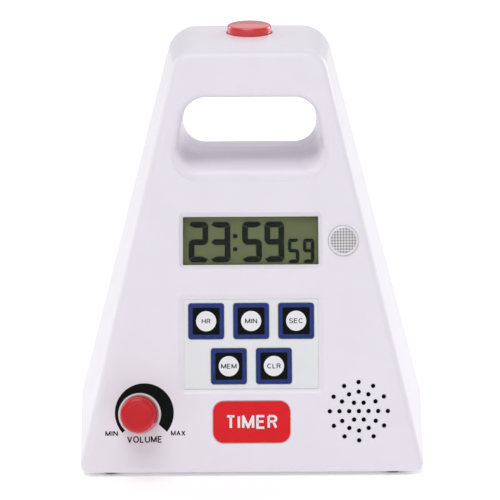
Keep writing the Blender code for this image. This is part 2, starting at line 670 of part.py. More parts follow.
def make_main_board():
    centre = [(low + high) / 2 for low, high in zip(BOARD_LOW, BOARD_HIGH)]
    half = [(high - low) / 2 for low, high in zip(BOARD_LOW, BOARD_HIGH)]
    rear = BOARD_DEPTH + BOARD_THICKNESS
    board = slab("main_board", "circuit_board", face_frame, centre, half, 1 * MM,
                 (BOARD_DEPTH, rear))
    head = [(0, GAP + 1.6 * MM), (1.6 * MM, GAP + 1.6 * MM), (2.3 * MM, GAP + 0.9 * MM),
            (2.3 * MM, GAP), (0.9 * MM, GAP), (0.9 * MM, -5 * MM), (0, -5.5 * MM)]
    for i, (x, s) in enumerate(BOARD_SCREWS):
        place = (x * MM, BOARD_DEPTH, s * MM)
        cut(board, rod(f"board_hole_{i + 1}", None, face_frame, place, 1.4 * MM, 6 * MM, "Y", 12))
        turned(f"board_screw_{i + 1}", "steel", face_frame, (x * MM, rear, s * MM),
                       head, (-math.pi / 2, 0, 0), 10)
    block("controller_chip", "black_plastic", face_frame,
          (-6 * MM, rear + GAP + 0.9 * MM, 108 * MM), (14 * MM, 1.8 * MM, 14 * MM), 0.3 * MM)
    slab("quartz_crystal", "steel", face_frame, (-24 * MM, 104 * MM), (5.5 * MM, 2.3 * MM),
         2.2 * MM, (rear + GAP, rear + GAP + 3.5 * MM))
    can = 12 * MM
    rod("filter_capacitor", "black_plastic", face_frame, (18 * MM, rear + GAP + can / 2, 120 * MM),
        4 * MM, can, "Y", 20)
    socket = 3.6 * MM
    block("keypad_socket", "black_plastic", face_frame,
          (0, BOARD_DEPTH - GAP - socket / 2, 89.4 * MM), (14 * MM, socket, 3.4 * MM), 0.3 * MM)


# ------------------------------------------------------------------ keypad


def key_places():
    row = [("hr", -1.0, 0), ("min", 0.0, 0), ("sec", 1.0, 0), ("mem", -0.5, 1), ("clr", 0.5, 1)]
    for name, across, down in row:
        yield name, (across * KEY_PITCH, KEY_TOP_ROW - down * KEY_PITCH)


def make_keypad():
    floor = KEYPAD_DEPTH
    inner = (KEYPAD_HALF[0] - GAP, KEYPAD_HALF[1] - GAP)
    slab("keypad_circuit", "polyester_film", face_frame, KEYPAD_CENTRE, inner, 0.6 * MM,
         (floor - 0.35 * MM, floor - 0.1 * MM))
    overlay = slab("keypad_overlay", "keypad_film", face_frame, KEYPAD_CENTRE, inner, 0.6 * MM,
                   (floor - 0.95 * MM, floor - 0.5 * MM))
    key_back = floor - 0.35 * MM - 0.1 * MM - KEY_TRAVEL
    for name, place in key_places():
        hole = KEY_HALF + GAP
        cut(overlay, slab(f"key_hole_{name}", None, face_frame, place, (hole, hole),
                          KEY_CORNER + GAP, (-1 * MM, floor + 1 * MM)))
        half = (KEY_HALF, KEY_HALF)
        key = slab(f"key_{name}", "key_blue", face_frame, (0, 0), half, KEY_CORNER,
                   (key_back - 0.6 * MM, key_back))
        key.location = on_face(place)
    path = [(76.9, 1.85), (77.1, 2.8), (77.3, 4.0), (78.2, 5.4), (80.0, 6.8), (83.0, 8.2),
            (85.5, 8.9), (87.3, 9.0)]
    ribbon("keypad_tail", "polyester_film", face_frame, [(s * MM, d * MM) for s, d in path],
           0.25 * MM, (-5.0 * MM, 5.0 * MM), lambda s, d, across: (across, d, s))


# ------------------------------------------------------------------ speaker, volume control, plate


def make_speaker():
    facing = (math.pi / 2, 0, 0)
    place = on_face(SPEAKER_CENTRE)
    front = -(WALL + GAP)
    basket = [(15.6, 0), (18.0, 0), (18.0, -1.2), (15.0, -1.2), (10.0, -5.6), (10.0, -6.6),
              (7.0, -6.6), (7.0, -5.6), (9.4, -5.2), (14.4, -0.8)]
    turned("speaker_basket", "steel", face_frame, place,
           [(r * MM, front + h * MM) for r, h in basket], facing, 20)
    cone = [(0, -2.6), (2.5, -2.9), (3.6, -3.8), (13.4, -0.4), (13.4, -0.9), (3.6, -4.4),
            (2.4, -3.5), (0, -3.2)]
    turned("speaker_cone", "speaker_paper", face_frame, place,
           [(r * MM, front + h * MM) for r, h in cone], facing, 20)
    magnet = [(0, -6.9), (8.5, -6.9), (8.5, -11.5), (0, -11.5)]
    turned("speaker_magnet", "steel", face_frame, place,
           [(r * MM, front + h * MM) for r, h in magnet], facing, 16)
    clamp = [(15.8, -1.5), (20.2, -1.5), (20.2, -3.2), (15.8, -3.2)]
    turned("speaker_clamp", "black_plastic", face_frame, place,
           [(r * MM, front + h * MM) for r, h in clamp], facing, 20)


def make_volume_control():
    facing = (math.pi / 2, 0, 0)
    place = on_face(KNOB_CENTRE)
    body_front = WALL + GAP
    body = block("volume_pot_body", "steel", face_frame,
                 (place[0], body_front + 4.5 * MM, place[2]), (16.5 * MM, 9 * MM, 16.5 * MM))
    join(body, rod("pot_bushing", None, face_frame, (place[0], 1.0 * MM, place[2]), 3.5 * MM,
                   8 * MM, "Y", 20))
    cut(body, rod("pot_bore", None, face_frame, (place[0], 0, place[2]), 3.0 * MM, 16 * MM, "Y",
                  20))
    nut = rod("volume_pot_nut", "steel", face_frame, (place[0], -1.3 * MM, place[2]), 5.6 * MM,
              2.0 * MM, "Y", 6)
    cut(nut, rod("nut_bore", None, face_frame, (place[0], 0, place[2]), 3.8 * MM, 12 * MM, "Y",
                 20))
    shaft = [(0, 12.0), (2.5, 12.0), (2.7, 11.8), (2.7, -7.0), (0, -7.0)]
    turned("volume_pot_shaft", "steel", face_frame, place,
           [(r * MM, h * MM) for r, h in shaft], facing, 12)
    reach = KNOB_REACH / MM
    rim = KNOB_RADIUS / MM
    knob = [(0, reach - 0.6), (rim - 2.6, reach - 0.5), (rim - 1.8, reach - 0.1),
            (rim - 1.0, reach), (rim - 0.3, reach - 0.35), (rim, reach - 1.1), (9.0, 1.2),
            (8.8, 0.8), (7.4, 0.8), (7.4, 4.4), (3.1, 4.4), (3.1, 12.4), (0, 12.4)]
    turned("volume_knob", "red_plastic", face_frame, place,
           [(r * MM, h * MM) for r, h in knob], facing, 28)


def make_name_plate():
    slab("front_plate", "red_plastic", face_frame, PLATE_CENTRE, PLATE_HALF, PLATE_CORNER,
         (-0.5 * MM, 0.2 * MM))


# ------------------------------------------------------------------ top button


def make_top_button():
    place = (0, BUTTON_PLACE, 0)
    r = BUTTON_RADIUS / MM
    h = BUTTON_HEIGHT / MM
    cap = [(0, h), (r - 1.6, h - 0.1), (r - 0.7, h - 0.2), (r - 0.2, h - 0.6), (r, h - 1.2),
           (r, -3.1), (12.7, -3.1), (12.7, -4.3), (8.6, -4.3), (8.6, 1.6), (3.0, 1.6),
           (3.0, -6.0), (0, -6.0)]
    turned("stop_button_cap", "red_plastic", top_frame, place,
           [(a * MM, b * MM) for a, b in cap], (0, 0, 0), 28)
    low = -BUTTON_BOARD_DEPTH + GAP
    block("button_board", "circuit_board", top_frame,
          (0, BUTTON_PLACE, -BUTTON_BOARD_DEPTH - 0.8 * MM), (39 * MM, 20 * MM, 1.6 * MM))
    switch = block("button_switch", "black_plastic", top_frame,
                   (0, BUTTON_PLACE, low + 2.5 * MM), (6 * MM, 6 * MM, 5 * MM))
    join(switch, rod("switch_plunger", None, top_frame, (0, BUTTON_PLACE, low + 5.6 * MM),
                     1.7 * MM, 4.4 * MM, "Z", 16))
    wire = 0.35 * MM
    coil = 7.0 * MM
    high = 1.6 * MM - GAP - wire
    base = low + wire
    turns = 5
    points = 8
    route = []
    for i in range(turns * points + 1):
        t = i / (turns * points)
        angle = 2 * math.pi * turns * t
        route.append((coil * math.cos(angle), BUTTON_PLACE + coil * math.sin(angle),
                      base + (high - base) * t))
    tube("stop_button_spring", "steel", top_frame, route, wire, 1)


# ------------------------------------------------------------------ fasteners, feet and leads


def make_case_screws():
    head = [(0, 0), (2.0, 0), (2.9, -0.7), (2.9, -1.5), (1.2, -1.5), (1.2, -11.0), (0, -12.0)]
    for level, x, z, _ in CASE_SCREWS:
        for side, sign in sides():
            place = (sign * x * MM, CASE_DEPTH - 0.2 * MM, z * MM)
            turned(f"case_screw_{level}_{side}", "steel", case_frame, place,
                   [(r * MM, h * MM) for r, h in head], (-math.pi / 2, 0, 0), 10)


def make_feet():
    top = 0.5 * MM
    profile = [(0, top), (FOOT_RADIUS, top), (FOOT_RADIUS, -FOOT_HEIGHT + 0.5 * MM),
               (FOOT_RADIUS - 0.5 * MM, -FOOT_HEIGHT), (0, -FOOT_HEIGHT)]
    for end, x, y in FOOT_PLACES:
        for side, sign in sides():
            turned(f"foot_{end}_{side}", "rubber", case_frame, (sign * x * MM, y * MM, 0),
                   profile, (0, 0, 0), 16)


def make_leads():
    routes = {
        "battery_lead_positive": ("red_insulation", (
            (20, 100, 83), (20, 98, 88), (17, 84, 97), (12, 60, 98), (8, 46, 91), (6, 42, 88.6))),
        "battery_lead_negative": ("black_insulation", (
            (-20, 100, 83), (-20, 98, 88), (-17, 84, 97), (-16, 60, 98), (-15, 46, 91),
            (-14, 42, 88.6))),
        "speaker_lead": ("black_insulation", (
            (50, 23, 23.5), (50, 27, 26), (51, 38, 40), (48, 46, 60), (40, 45, 76),
            (34, 42.6, 88.2))),
        "volume_lead": ("black_insulation", (
            (-52, 20.8, 24), (-52, 24, 26), (-50, 34, 40), (-46, 44, 60), (-36, 44, 76),
            (-30, 42.6, 88.2))),
        "button_lead": ("black_insulation", (
            (14, 98, 176), (26, 97, 172), (37, 94, 171), (41, 91, 160), (42, 87, 144),
            (40, 72, 128), (34, 54, 117), (30, 50.5, 114.8))),
    }
    for name, (finish, route) in routes.items():
        places = [tuple(value * MM for value in point) for point in route]
        tube(name, finish, case_frame, places, 0.7 * MM, 3)


make_front_shell()
make_rear_cover()
make_battery_door()
make_cells()
make_contacts()
make_display()
make_lamp()
make_main_board()
make_keypad()
make_speaker()
make_volume_control()
make_name_plate()
make_top_button()
make_case_screws()
make_feet()
make_leads()
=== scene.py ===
"""The looks of a bench lab timer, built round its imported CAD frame.

Everything is in metres in the row frame. CASE, FACE and TOP turn a place given from the case's
lower front edge, along the leaning front face, or along the sloping top into a place in that
frame.
"""

import math

import bmesh
import bpy
from mathutils import Matrix, Vector


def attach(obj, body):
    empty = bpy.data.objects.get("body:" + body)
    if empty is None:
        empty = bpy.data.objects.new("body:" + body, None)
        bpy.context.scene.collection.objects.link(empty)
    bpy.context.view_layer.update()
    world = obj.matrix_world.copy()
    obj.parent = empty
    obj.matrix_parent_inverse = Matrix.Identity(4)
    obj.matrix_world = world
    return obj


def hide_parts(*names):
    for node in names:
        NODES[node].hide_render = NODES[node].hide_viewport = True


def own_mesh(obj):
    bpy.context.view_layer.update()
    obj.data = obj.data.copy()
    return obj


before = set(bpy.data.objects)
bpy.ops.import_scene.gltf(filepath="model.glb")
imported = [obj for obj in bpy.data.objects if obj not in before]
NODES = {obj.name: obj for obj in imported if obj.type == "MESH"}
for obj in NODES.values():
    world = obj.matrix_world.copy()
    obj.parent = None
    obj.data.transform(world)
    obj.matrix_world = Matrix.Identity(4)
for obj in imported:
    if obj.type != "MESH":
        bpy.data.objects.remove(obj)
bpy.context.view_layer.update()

MM = 0.001
GAP = 0.3 * MM

# Case
BASE_HALF_WIDTH = 80.5 * MM
CASE_DEPTH = 115.8 * MM
FACE_TILT = math.radians(16.4)
FACE_LEAN = math.tan(FACE_TILT)
SIDE_FLARE = 0.0895
SIDE_LEAN = 0.2676
TOP_FRONT_Y = 55.8 * MM
TOP_FRONT_Z = 189.8 * MM
TOP_SLOPE = math.radians(7.06)
FOOT_HEIGHT = 1.6 * MM
WALL = 2.8 * MM
FACE_EDGE_RADIUS = 3.2 * MM
REAR_EDGE_RADIUS = 2.4 * MM
TOP_CORNER_FRONT = 10.3 * MM
TOP_CORNER_REAR = 15.6 * MM
BASE_CORNER = 4.0 * MM
SEAM_Y = 112.0 * MM
CORNER_STEPS = 20
EDGE_STEPS = 10

# Handle opening: sizes at the face and at the rear, and half widths at its middle height
GRIP_HALF_WIDTH = (33.2 * MM, 33.4 * MM)
GRIP_SIDE_LEAN = 0.17
GRIP_LOW_Z = (136.6 * MM, 138.0 * MM)
GRIP_HIGH_Z = (169.0 * MM, 167.8 * MM)
GRIP_CORNER_LOW = (8.0 * MM, 11.2 * MM)
GRIP_CORNER_HIGH = 11.5 * MM
GRIP_LIP_LOW = 6.8 * MM
GRIP_LIP_HIGH = 4.7 * MM
GRIP_LIP_SIDE = 3.4 * MM
GRIP_LIP_CORNER = 5.0 * MM
GRIP_WALL = 2.3 * MM
GRIP_SEAM_Y = 95.0 * MM

# Places on the face: (across, up the slope)
DISPLAY_CENTRE = (0.0, 108.6 * MM)
DISPLAY_HALF = (31.75 * MM, 11.3 * MM)
DIGIT_FOOT = 98.7 * MM
BIG_DIGIT = (9.3 * MM, 19.0 * MM, 2.75 * MM, 0.14 * MM)  # width, height, stroke, gap
SMALL_DIGIT = (5.3 * MM, 11.4 * MM, 1.6 * MM, 0.1 * MM)
LAMP_CENTRE = (43.4 * MM, 108.2 * MM)
LAMP_RADIUS = 7.0 * MM
LAMP_FACET = 1.35 * MM
KEYPAD_CENTRE = (0.0, 60.2 * MM)
KEYPAD_HALF = (31.6 * MM, 21.1 * MM)
KEYPAD_DEPTH = 1.6 * MM
KEY_PITCH = 21.0 * MM
KEY_HALF = 8.25 * MM
KEY_CORNER = 1.2 * MM
KEY_TOP_ROW = 70.9 * MM
KEY_BACK = 0.8 * MM
KEY_THICKNESS = 0.6 * MM
KEY_SQUARE_HALF = 6.3 * MM
KEY_DISC_RADIUS = 4.7 * MM
KNOB_CENTRE = (-52.1 * MM, 27.9 * MM)
KNOB_RADIUS = 8.5 * MM
KNOB_REACH = 14.6 * MM
SPEAKER_CENTRE = (49.9 * MM, 28.7 * MM)
GRILLE_RINGS = ((0.0, 1), (4.5 * MM, 6), (9.0 * MM, 12), (13.5 * MM, 12))
GRILLE_HOLE_RADIUS = 1.05 * MM
PLATE_CENTRE = (0.0, 24.0 * MM)
PLATE_HALF = (17.9 * MM, 9.6 * MM)
PLATE_CORNER = 5.0 * MM
BUTTON_PLACE = 42.9 * MM
BUTTON_RADIUS = 10.9 * MM
BUTTON_HEIGHT = 4.0 * MM

# Rear
BAY_HALF_WIDTH = 33.0 * MM
BAY_LOW_Z = 18.0 * MM
BAY_HIGH_Z = 80.0 * MM
BAY_FRONT_Y = 96.3 * MM
DOOR_MARGIN = 2.7 * MM
DOOR_THICKNESS = 2.1 * MM
CELL_RADIUS = 7.25 * MM
CELL_LENGTH = 50.5 * MM
CELL_PITCH = 15.1 * MM
CELL_Y = 104.6 * MM
CASE_SCREWS = (("lower", 71.0, 10.0, 4.5), ("middle", 53.0, 118.0, 96.0),
               ("upper", 26.0, 180.0, 54.4))
POST_RADIUS = 3.5 * MM
FOOT_PLACES = (("front", 66.0, 10.0), ("rear", 73.0, 100.0))
FOOT_RADIUS = 5.0 * MM
SIDES = (("left", -1), ("right", 1))

# Prints, which stand a little proud of what they are on
FILM_PRINT = 0.02 * MM
CASE_PRINT = 0.03 * MM

# Camera and lights: each light has its strength, the way towards it and its angle across
CAMERA_PLACE = (-0.001292, -0.795408, 0.274308)
CAMERA_FORWARD = (0.001208, 0.975779, -0.218757)
CAMERA_ROLL = math.radians(-0.31)
CAMERA_LENS = 121.6
CAMERA_SENSOR = 36.0
FLOOR_REACH = 12.0
SKY_COLOUR = (1.0, 0.99, 1.0, 1.0)
SKY_STRENGTH = 0.45
LIGHTS = {
    "key_light": (1.15, (-0.16, -0.32, 1.0), 40),
    "left_light": (0.46, (-1.0, 0.8, 0.45), 30),
    "right_light": (0.95, (1.0, 0.8, 0.45), 30),
    "front_light": (0.24, (0.0, -1.0, 0.3), 60),
    "back_light": (0.2, (0.0, 1.0, 1.0), 50),
}

KNOB_FRONT_Y = KNOB_CENTRE[1] * math.sin(FACE_TILT) - KNOB_REACH * math.cos(FACE_TILT)
LOWEST_FRONT_Y = KNOB_FRONT_Y - (KNOB_RADIUS - 1.0 * MM) * math.sin(FACE_TILT)
ORIGIN_Y = (LOWEST_FRONT_Y + CASE_DEPTH) / 2

IDENTITY = Matrix.Identity(4)
SHIFT = Matrix.Translation
FACE_LOCAL = Matrix.Rotation(-FACE_TILT, 4, "X")
TOP_LOCAL = SHIFT((0, TOP_FRONT_Y, TOP_FRONT_Z)) @ Matrix.Rotation(TOP_SLOPE, 4, "X")
CASE = SHIFT((0, -ORIGIN_Y, FOOT_HEIGHT))
FACE = CASE @ FACE_LOCAL
TOP = CASE @ TOP_LOCAL
OUTWARD = Matrix.Rotation(math.pi / 2, 4, "X")  # local Z comes out of the face
REARWARD = Matrix.Rotation(-math.pi / 2, 4, "X")


# ---------- materials


class Finish:
    """Builds one procedural material: a Principled shader with grain, mottling and bump."""

    def __init__(self, name, colour, roughness, **sockets):
        self.material = bpy.data.materials.new(name)
        self.material.use_nodes = True
        self.tree = self.material.node_tree
        self.shader = self.tree.nodes["Principled BSDF"]
        self.shader.inputs["Base Color"].default_value = (*colour, 1.0)
        self.shader.inputs["Roughness"].default_value = roughness
        for socket, value in sockets.items():
            self.shader.inputs[socket.replace("_", " ")].default_value = value
        self.place = self.node("ShaderNodeTexCoord").outputs["Object"]
        self.colour = colour
        self.roughness = roughness

    def node(self, kind, **values):
        made = self.tree.nodes.new(kind)
        for key, value in values.items():
            if hasattr(made, key):
                setattr(made, key, value)
            else:
                made.inputs[key.replace("_", " ")].default_value = value
        return made

    def wire(self, start, end):
        self.tree.links.new(start, end)

    def noise(self, scale, detail=3.0, stretch=None):
        texture = self.node("ShaderNodeTexNoise", Scale=scale, Detail=detail)
        if stretch:
            mapping = self.node("ShaderNodeMapping", Scale=stretch)
            self.wire(self.place, mapping.inputs["Vector"])
            self.wire(mapping.outputs["Vector"], texture.inputs["Vector"])
        else:
            self.wire(self.place, texture.inputs["Vector"])
        return texture.outputs["Fac"]

    def remap(self, value, low, high, to_low=0.0, to_high=1.0):
        span = self.node("ShaderNodeMapRange", From_Min=low, From_Max=high, To_Min=to_low,
                         To_Max=to_high)
        self.wire(value, span.inputs["Value"])
        return span.outputs["Result"]

    def mottle(self, scale, spread, detail=2.0):
        """Varies the base colour by a small share either way."""
        ramp = self.node("ShaderNodeValToRGB")
        for element, share in zip(ramp.color_ramp.elements, (1 - spread, 1 + spread)):
            element.color = (*(min(c * share, 1.0) for c in self.colour), 1.0)
        ramp.color_ramp.elements[0].position = 0.3
        ramp.color_ramp.elements[1].position = 0.7
        self.wire(self.noise(scale, detail), ramp.inputs["Fac"])
        self.wire(ramp.outputs["Color"], self.shader.inputs["Base Color"])
        return self

    def polish(self, scale, spread, detail=3.0, stretch=None):
        """Varies the roughness."""
        rough = self.remap(self.noise(scale, detail, stretch), 0.0, 1.0,
                           max(self.roughness - spread, 0.02), min(self.roughness + spread, 1.0))
        self.wire(rough, self.shader.inputs["Roughness"])
        return self

    def bump(self, height, scale, depth, detail=3.0, strength=1.0):
        """Adds a bump whose height is noise, or the given output, over a depth in metres."""
        source = self.noise(scale, detail) if height is None else height
        bump = self.node("ShaderNodeBump", Strength=strength, Distance=depth)
        self.wire(source, bump.inputs["Height"])
        self.wire(bump.outputs["Normal"], self.shader.inputs["Normal"])
        return self

    def axis(self, name):
        split = self.node("ShaderNodeSeparateXYZ")
        self.wire(self.place, split.inputs["Vector"])
        return split.outputs[name]

    def maths(self, operation, first, second=None):
        made = self.node("ShaderNodeMath", operation=operation)
        for socket, value in zip(made.inputs, (first, second)):
            if value is None:
                continue
            if isinstance(value, (int, float)):
                socket.default_value = value
            else:
                self.wire(value, socket)
        return made.outputs["Value"]

    def steps(self, value, low, high, stops, socket, sharp=True):
        """Sets a socket from colours or values at shares of the way from low to high."""
        ramp = self.node("ShaderNodeValToRGB")
        ramp.color_ramp.interpolation = "CONSTANT" if sharp else "LINEAR"
        elements = ramp.color_ramp.elements
        while len(elements) < len(stops):
            elements.new(0.5)
        for element, (position, colour) in zip(elements, stops):
            element.position = position
            tint = colour if isinstance(colour, tuple) else (colour,) * 3
            element.color = (*tint, 1.0)
        self.wire(self.remap(value, low, high), ramp.inputs["Fac"])
        self.wire(ramp.outputs["Color"], self.shader.inputs[socket])
        return self


# Plain surfaces: colour, roughness, mottle (scale, spread, detail), polish (scale, spread, detail,
# stretch), bump (scale, depth, detail, strength) and other shader sockets
SURFACES = {
    "case_white": ((0.825, 0.79, 0.862), 0.34, (60, 0.012), (900, 0.05),
        (5200, 0.02 * MM, 2.0, 0.25), {"Specular_IOR_Level": 0.45}),
    "red_gloss": ((0.74, 0.006, 0.018), 0.2, (180, 0.05), (700, 0.04),
        (2600, 0.01 * MM, 2.0, 0.1), {"Coat_Weight": 0.9, "Coat_Roughness": 0.08}),
    "red_print": ((0.72, 0.005, 0.012), 0.3, (180, 0.05), (700, 0.05),
        (2600, 0.02 * MM, 2.0, 0.2), {"Specular_IOR_Level": 0.3}),
    "red_satin": ((0.56, 0.002, 0.010), 0.26, (120, 0.03), (700, 0.03),
        (4200, 0.01 * MM, 2.0, 0.15), {"Specular_IOR_Level": 0.45}),
    "clear_window": ((0.10, 0.11, 0.10), 0.05, (90, 0.02), (300, 0.02),
        (120, 0.02 * MM, 1.0, 0.1), {"Alpha": 0.05}),
    "display_back": ((0.160, 0.188, 0.085), 0.5, (45, 0.09), (1500, 0.06),
        (9000, 0.01 * MM, 2.0, 0.3), {"Specular_IOR_Level": 0.2}),
    "display_ink": ((0.006, 0.011, 0.007), 0.5, (300, 0.25), (800, 0.08),
        None, {"Specular_IOR_Level": 0.05}),
    "keypad_film": ((0.785, 0.795, 0.82), 0.42, (70, 0.015), (600, 0.08),
        (3600, 0.02 * MM, 2.0, 0.25), {}),
    "print_blue": ((0.014, 0.032, 0.18), 0.42, (400, 0.12), (800, 0.08),
        (3600, 0.02 * MM, 2.0, 0.25), {"Specular_IOR_Level": 0.25}),
    "print_black": ((0.005, 0.006, 0.006), 0.5, (400, 0.2), (800, 0.08),
        (3600, 0.02 * MM, 2.0, 0.2), {"Specular_IOR_Level": 0.06}),
    "print_white": ((0.82, 0.82, 0.86), 0.4, (200, 0.02), (800, 0.08), None, {}),
    "black_plastic": ((0.016, 0.016, 0.018), 0.42, (300, 0.2), (900, 0.08),
        (3000, 0.03 * MM, 2.0, 0.4), {}),
    "polyester_film": ((0.62, 0.66, 0.58), 0.3, (150, 0.06), (500, 0.06), None, {}),
    "circuit_board": ((0.018, 0.13, 0.05), 0.34, (900, 0.18, 4.0), (700, 0.08),
        (1200, 0.04 * MM, 3.0, 0.4), {}),
    "rubber": ((0.022, 0.022, 0.023), 0.75, (400, 0.2), (900, 0.1),
        (2400, 0.05 * MM, 3.0, 0.5), {}),
    "red_insulation": ((0.42, 0.015, 0.015), 0.45, (400, 0.08), (900, 0.08), None, {}),
    "black_insulation": ((0.02, 0.02, 0.02), 0.45, (400, 0.15), (900, 0.08), None, {}),
    "steel": ((0.56, 0.56, 0.57), 0.28, (500, 0.06), (260, 0.12, 4.0, (1, 14, 1)),
        (2200, 0.01 * MM, 3.0, 0.3), {"Metallic": 1.0}),
    "speaker_paper": ((0.02, 0.02, 0.021), 0.85, (900, 0.3, 4.0), (900, 0.08),
        (1800, 0.12 * MM, 4.0, 0.8), {}),
    "floor_white": ((0.97, 0.97, 0.97), 0.9, (3, 0.004), None, None, {
        "Specular_IOR_Level": 0.1, "Emission_Color": (1, 1, 1, 1), "Emission_Strength": 0.18}),
}


def make_finishes():
    made = {}

    def add(name, colour, roughness, **sockets):
        made[name] = Finish(name, colour, roughness, **sockets)
        return made[name]

    for name, (colour, roughness, mottle, polish, bump, sockets) in SURFACES.items():
        surface = add(name, colour, roughness, **sockets).mottle(*mottle)
        if polish:
            surface.polish(*polish)
        if bump:
            surface.bump(None, *bump)

    striped = add("striped_rubber", (0.06, 0.06, 0.06), 0.6)
    stripes = 2 * math.pi / (0.4 * MM)
    wave = striped.maths("SINE", striped.maths("MULTIPLY", striped.axis("X"), stripes))
    striped.steps(wave, -1, 1, ((0.0, (0.25, 0.06, 0.05)), (0.5, 0.01)), "Base Color")
    striped.bump(wave, 0, 0.02 * MM)

    lens = add("lamp_lens", (0.70, 0.68, 0.70), 0.14, Alpha=0.9, Coat_Weight=0.4)
    # Painted shade: the lens's pale grey darkens to dark dots in a grid at the facet tips, standing
    # in for how the clear facets look dark; it fades out from 5.7 to 6.3 mm off the centre
    grid = 2 * math.pi / LAMP_FACET
    ripples = [lens.maths("COSINE", lens.maths("MULTIPLY", lens.axis(a), grid)) for a in "XY"]
    facet_shade_dots = lens.maths("ADD", *ripples)
    radius = lens.maths("SQRT", lens.maths("ADD", *(
        lens.maths("POWER", lens.axis(a), 2.0) for a in "XY")))
    fade = lens.remap(radius, 5.7 * MM, 6.3 * MM, 1.0, 0.0)
    painted_facet_shade = lens.maths("MULTIPLY", lens.maths("ADD", facet_shade_dots, 2.0), fade)
    lens.steps(painted_facet_shade, 0.0, 4.0, ((0.0, (0.90, 0.88, 0.91)), (0.35, (0.69, 0.67, 0.70)),
                                   (1.0, (0.18, 0.18, 0.19))), "Base Color", sharp=False)

    cell = add("cell_jacket", (0.10, 0.11, 0.12), 0.28)
    length = cell.axis("Z")
    steel_tone, copper, dark = (0.62, 0.62, 0.63), (0.55, 0.27, 0.11), (0.012, 0.013, 0.016)
    cell.steps(length, 0, CELL_LENGTH, ((0.0, steel_tone), (0.018, dark), (0.70, copper),
                                        (0.955, steel_tone)), "Base Color")
    cell.steps(length, 0, CELL_LENGTH, ((0.0, 1.0), (0.018, 0.1), (0.70, 0.9), (0.955, 1.0)),
               "Metallic")
    cell.polish(500, 0.08).bump(None, 900, 0.02 * MM, 2.0, 0.2)
    return {name: finish.material for name, finish in made.items()}


FINISHES = make_finishes()


# ---------- mesh helpers


def mesh_of(name, bm, sharp=35):
    bmesh.ops.recalc_face_normals(bm, faces=bm.faces)
    mesh = bpy.data.meshes.new(name)
    bm.to_mesh(mesh)
    bm.free()
    return shade(mesh, sharp)


def shade(mesh, sharp=35):
    mesh.shade_smooth()
    mesh.set_sharp_from_angle(angle=math.radians(sharp))
    return mesh


def piece(name, mesh, finish, body, place=IDENTITY, replaces=(), weighted=False,
          local=False):
    """Puts a mesh in its place as a piece that rides on a body.

    A local piece keeps its own axes, for a texture that follows them or a mesh that is shared.
    """
    if not local:
        mesh.transform(place)
        place = IDENTITY
    obj = bpy.data.objects.new(name, mesh)
    bpy.context.scene.collection.objects.link(obj)
    if not mesh.materials:
        mesh.materials.append(FINISHES[finish])
    obj.matrix_world = place
    if weighted:
        modifier = obj.modifiers.new("weighted normals", "WEIGHTED_NORMAL")
        modifier.keep_sharp = True
        modifier.weight = 70
    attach(obj, body)
    if replaces:
        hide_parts(*replaces)
    return obj


def mm(*pairs):
    """Pairs given in millimetres, in metres."""
    return [(first * MM, second * MM) for first, second in pairs]


def skin(bm, rings, matrix=IDENTITY):
    """Skins rings of equal point counts into a closed form."""
    rows = [[bm.verts.new(matrix @ Vector(point)) for point in ring] for ring in rings]
    for near, far in zip(rows, rows[1:]):
        for i in range(len(near)):
            j = (i + 1) % len(near)
            bm.faces.new((near[i], near[j], far[j], far[i]))
    bm.faces.new(rows[0])
    bm.faces.new(rows[-1])


def revolve(bm, profile, steps, matrix=IDENTITY, shape=None):
    """Turns (radius, height) points about Z; shape may move each point (x, y, z, i)."""
    rows = []
    for i, (radius, height) in enumerate(profile):
        count = 1 if radius < 1e-7 else steps
        row = []
        for k in range(count):
            angle = 2 * math.pi * k / steps
            point = Vector((radius * math.cos(angle), radius * math.sin(angle), height))
            row.append(bm.verts.new(matrix @ (shape(point, i) if shape else point)))
        rows.append(row)
    pairs = list(zip(rows, rows[1:]))
    if profile[0][0] > 1e-7:
        pairs.append((rows[-1], rows[0]))
    for near, far in pairs:
        for k in range(steps):
            j = (k + 1) % steps
            if len(near) == 1:
                bm.faces.new((near[0], far[j], far[k]))
            elif len(far) == 1:
                bm.faces.new((near[k], near[j], far[0]))
            else:
                bm.faces.new((near[k], near[j], far[j], far[k]))


def soften(points, radius, steps=3):
    """Rounds the corners of an open line of points."""
    made = [tuple(points[0])]
    for before, here, after in zip(points, points[1:], points[2:]):
        here = Vector(here)
        back, ahead = Vector(before) - here, Vector(after) - here
        reach = min(radius, back.length * 0.45, ahead.length * 0.45)
        start = here + back.normalized() * reach
        end = here + ahead.normalized() * reach
        for step in range(steps + 1):
            t = step / steps
            made.append(tuple(start * (1 - t) ** 2 + here * 2 * t * (1 - t) + end * t * t))
    return made + [tuple(points[-1])]


def turned(name, profile, steps, rounding):
    """A turned mesh from a profile in millimetres, from the top down its outer side."""
    bm = bmesh.new()
    revolve(bm, soften(mm(*profile), rounding * MM), steps)
    return mesh_of(name, bm)


def rounded(corners, radii, steps):
    """Points round a convex outline whose corners are arcs of the given radii."""
    points = []
    for i, corner in enumerate(corners):
        before = (Vector(corners[i - 1]) - Vector(corner)).normalized()
        after = (Vector(corners[(i + 1) % len(corners)]) - Vector(corner)).normalized()
        half = before.angle(after) / 2
        centre = Vector(corner) + (before + after).normalized() * radii[i] / math.sin(half)
        start = -before.orthogonal() if before.orthogonal().dot(after) > 0 else before.orthogonal()
        end = -after.orthogonal() if after.orthogonal().dot(before) > 0 else after.orthogonal()
        sweep = start.angle_signed(end)
        for step in range(steps + 1):
            turn = Matrix.Rotation(-sweep * step / steps, 2)
            points.append(centre + turn @ start.normalized() * radii[i])
    return points


def rectangle(centre, half, corner, steps):
    x, z = centre
    w, h = half
    corners = [(x - w, z - h), (x + w, z - h), (x + w, z + h), (x - w, z + h)]
    return rounded(corners, [corner] * 4, steps)


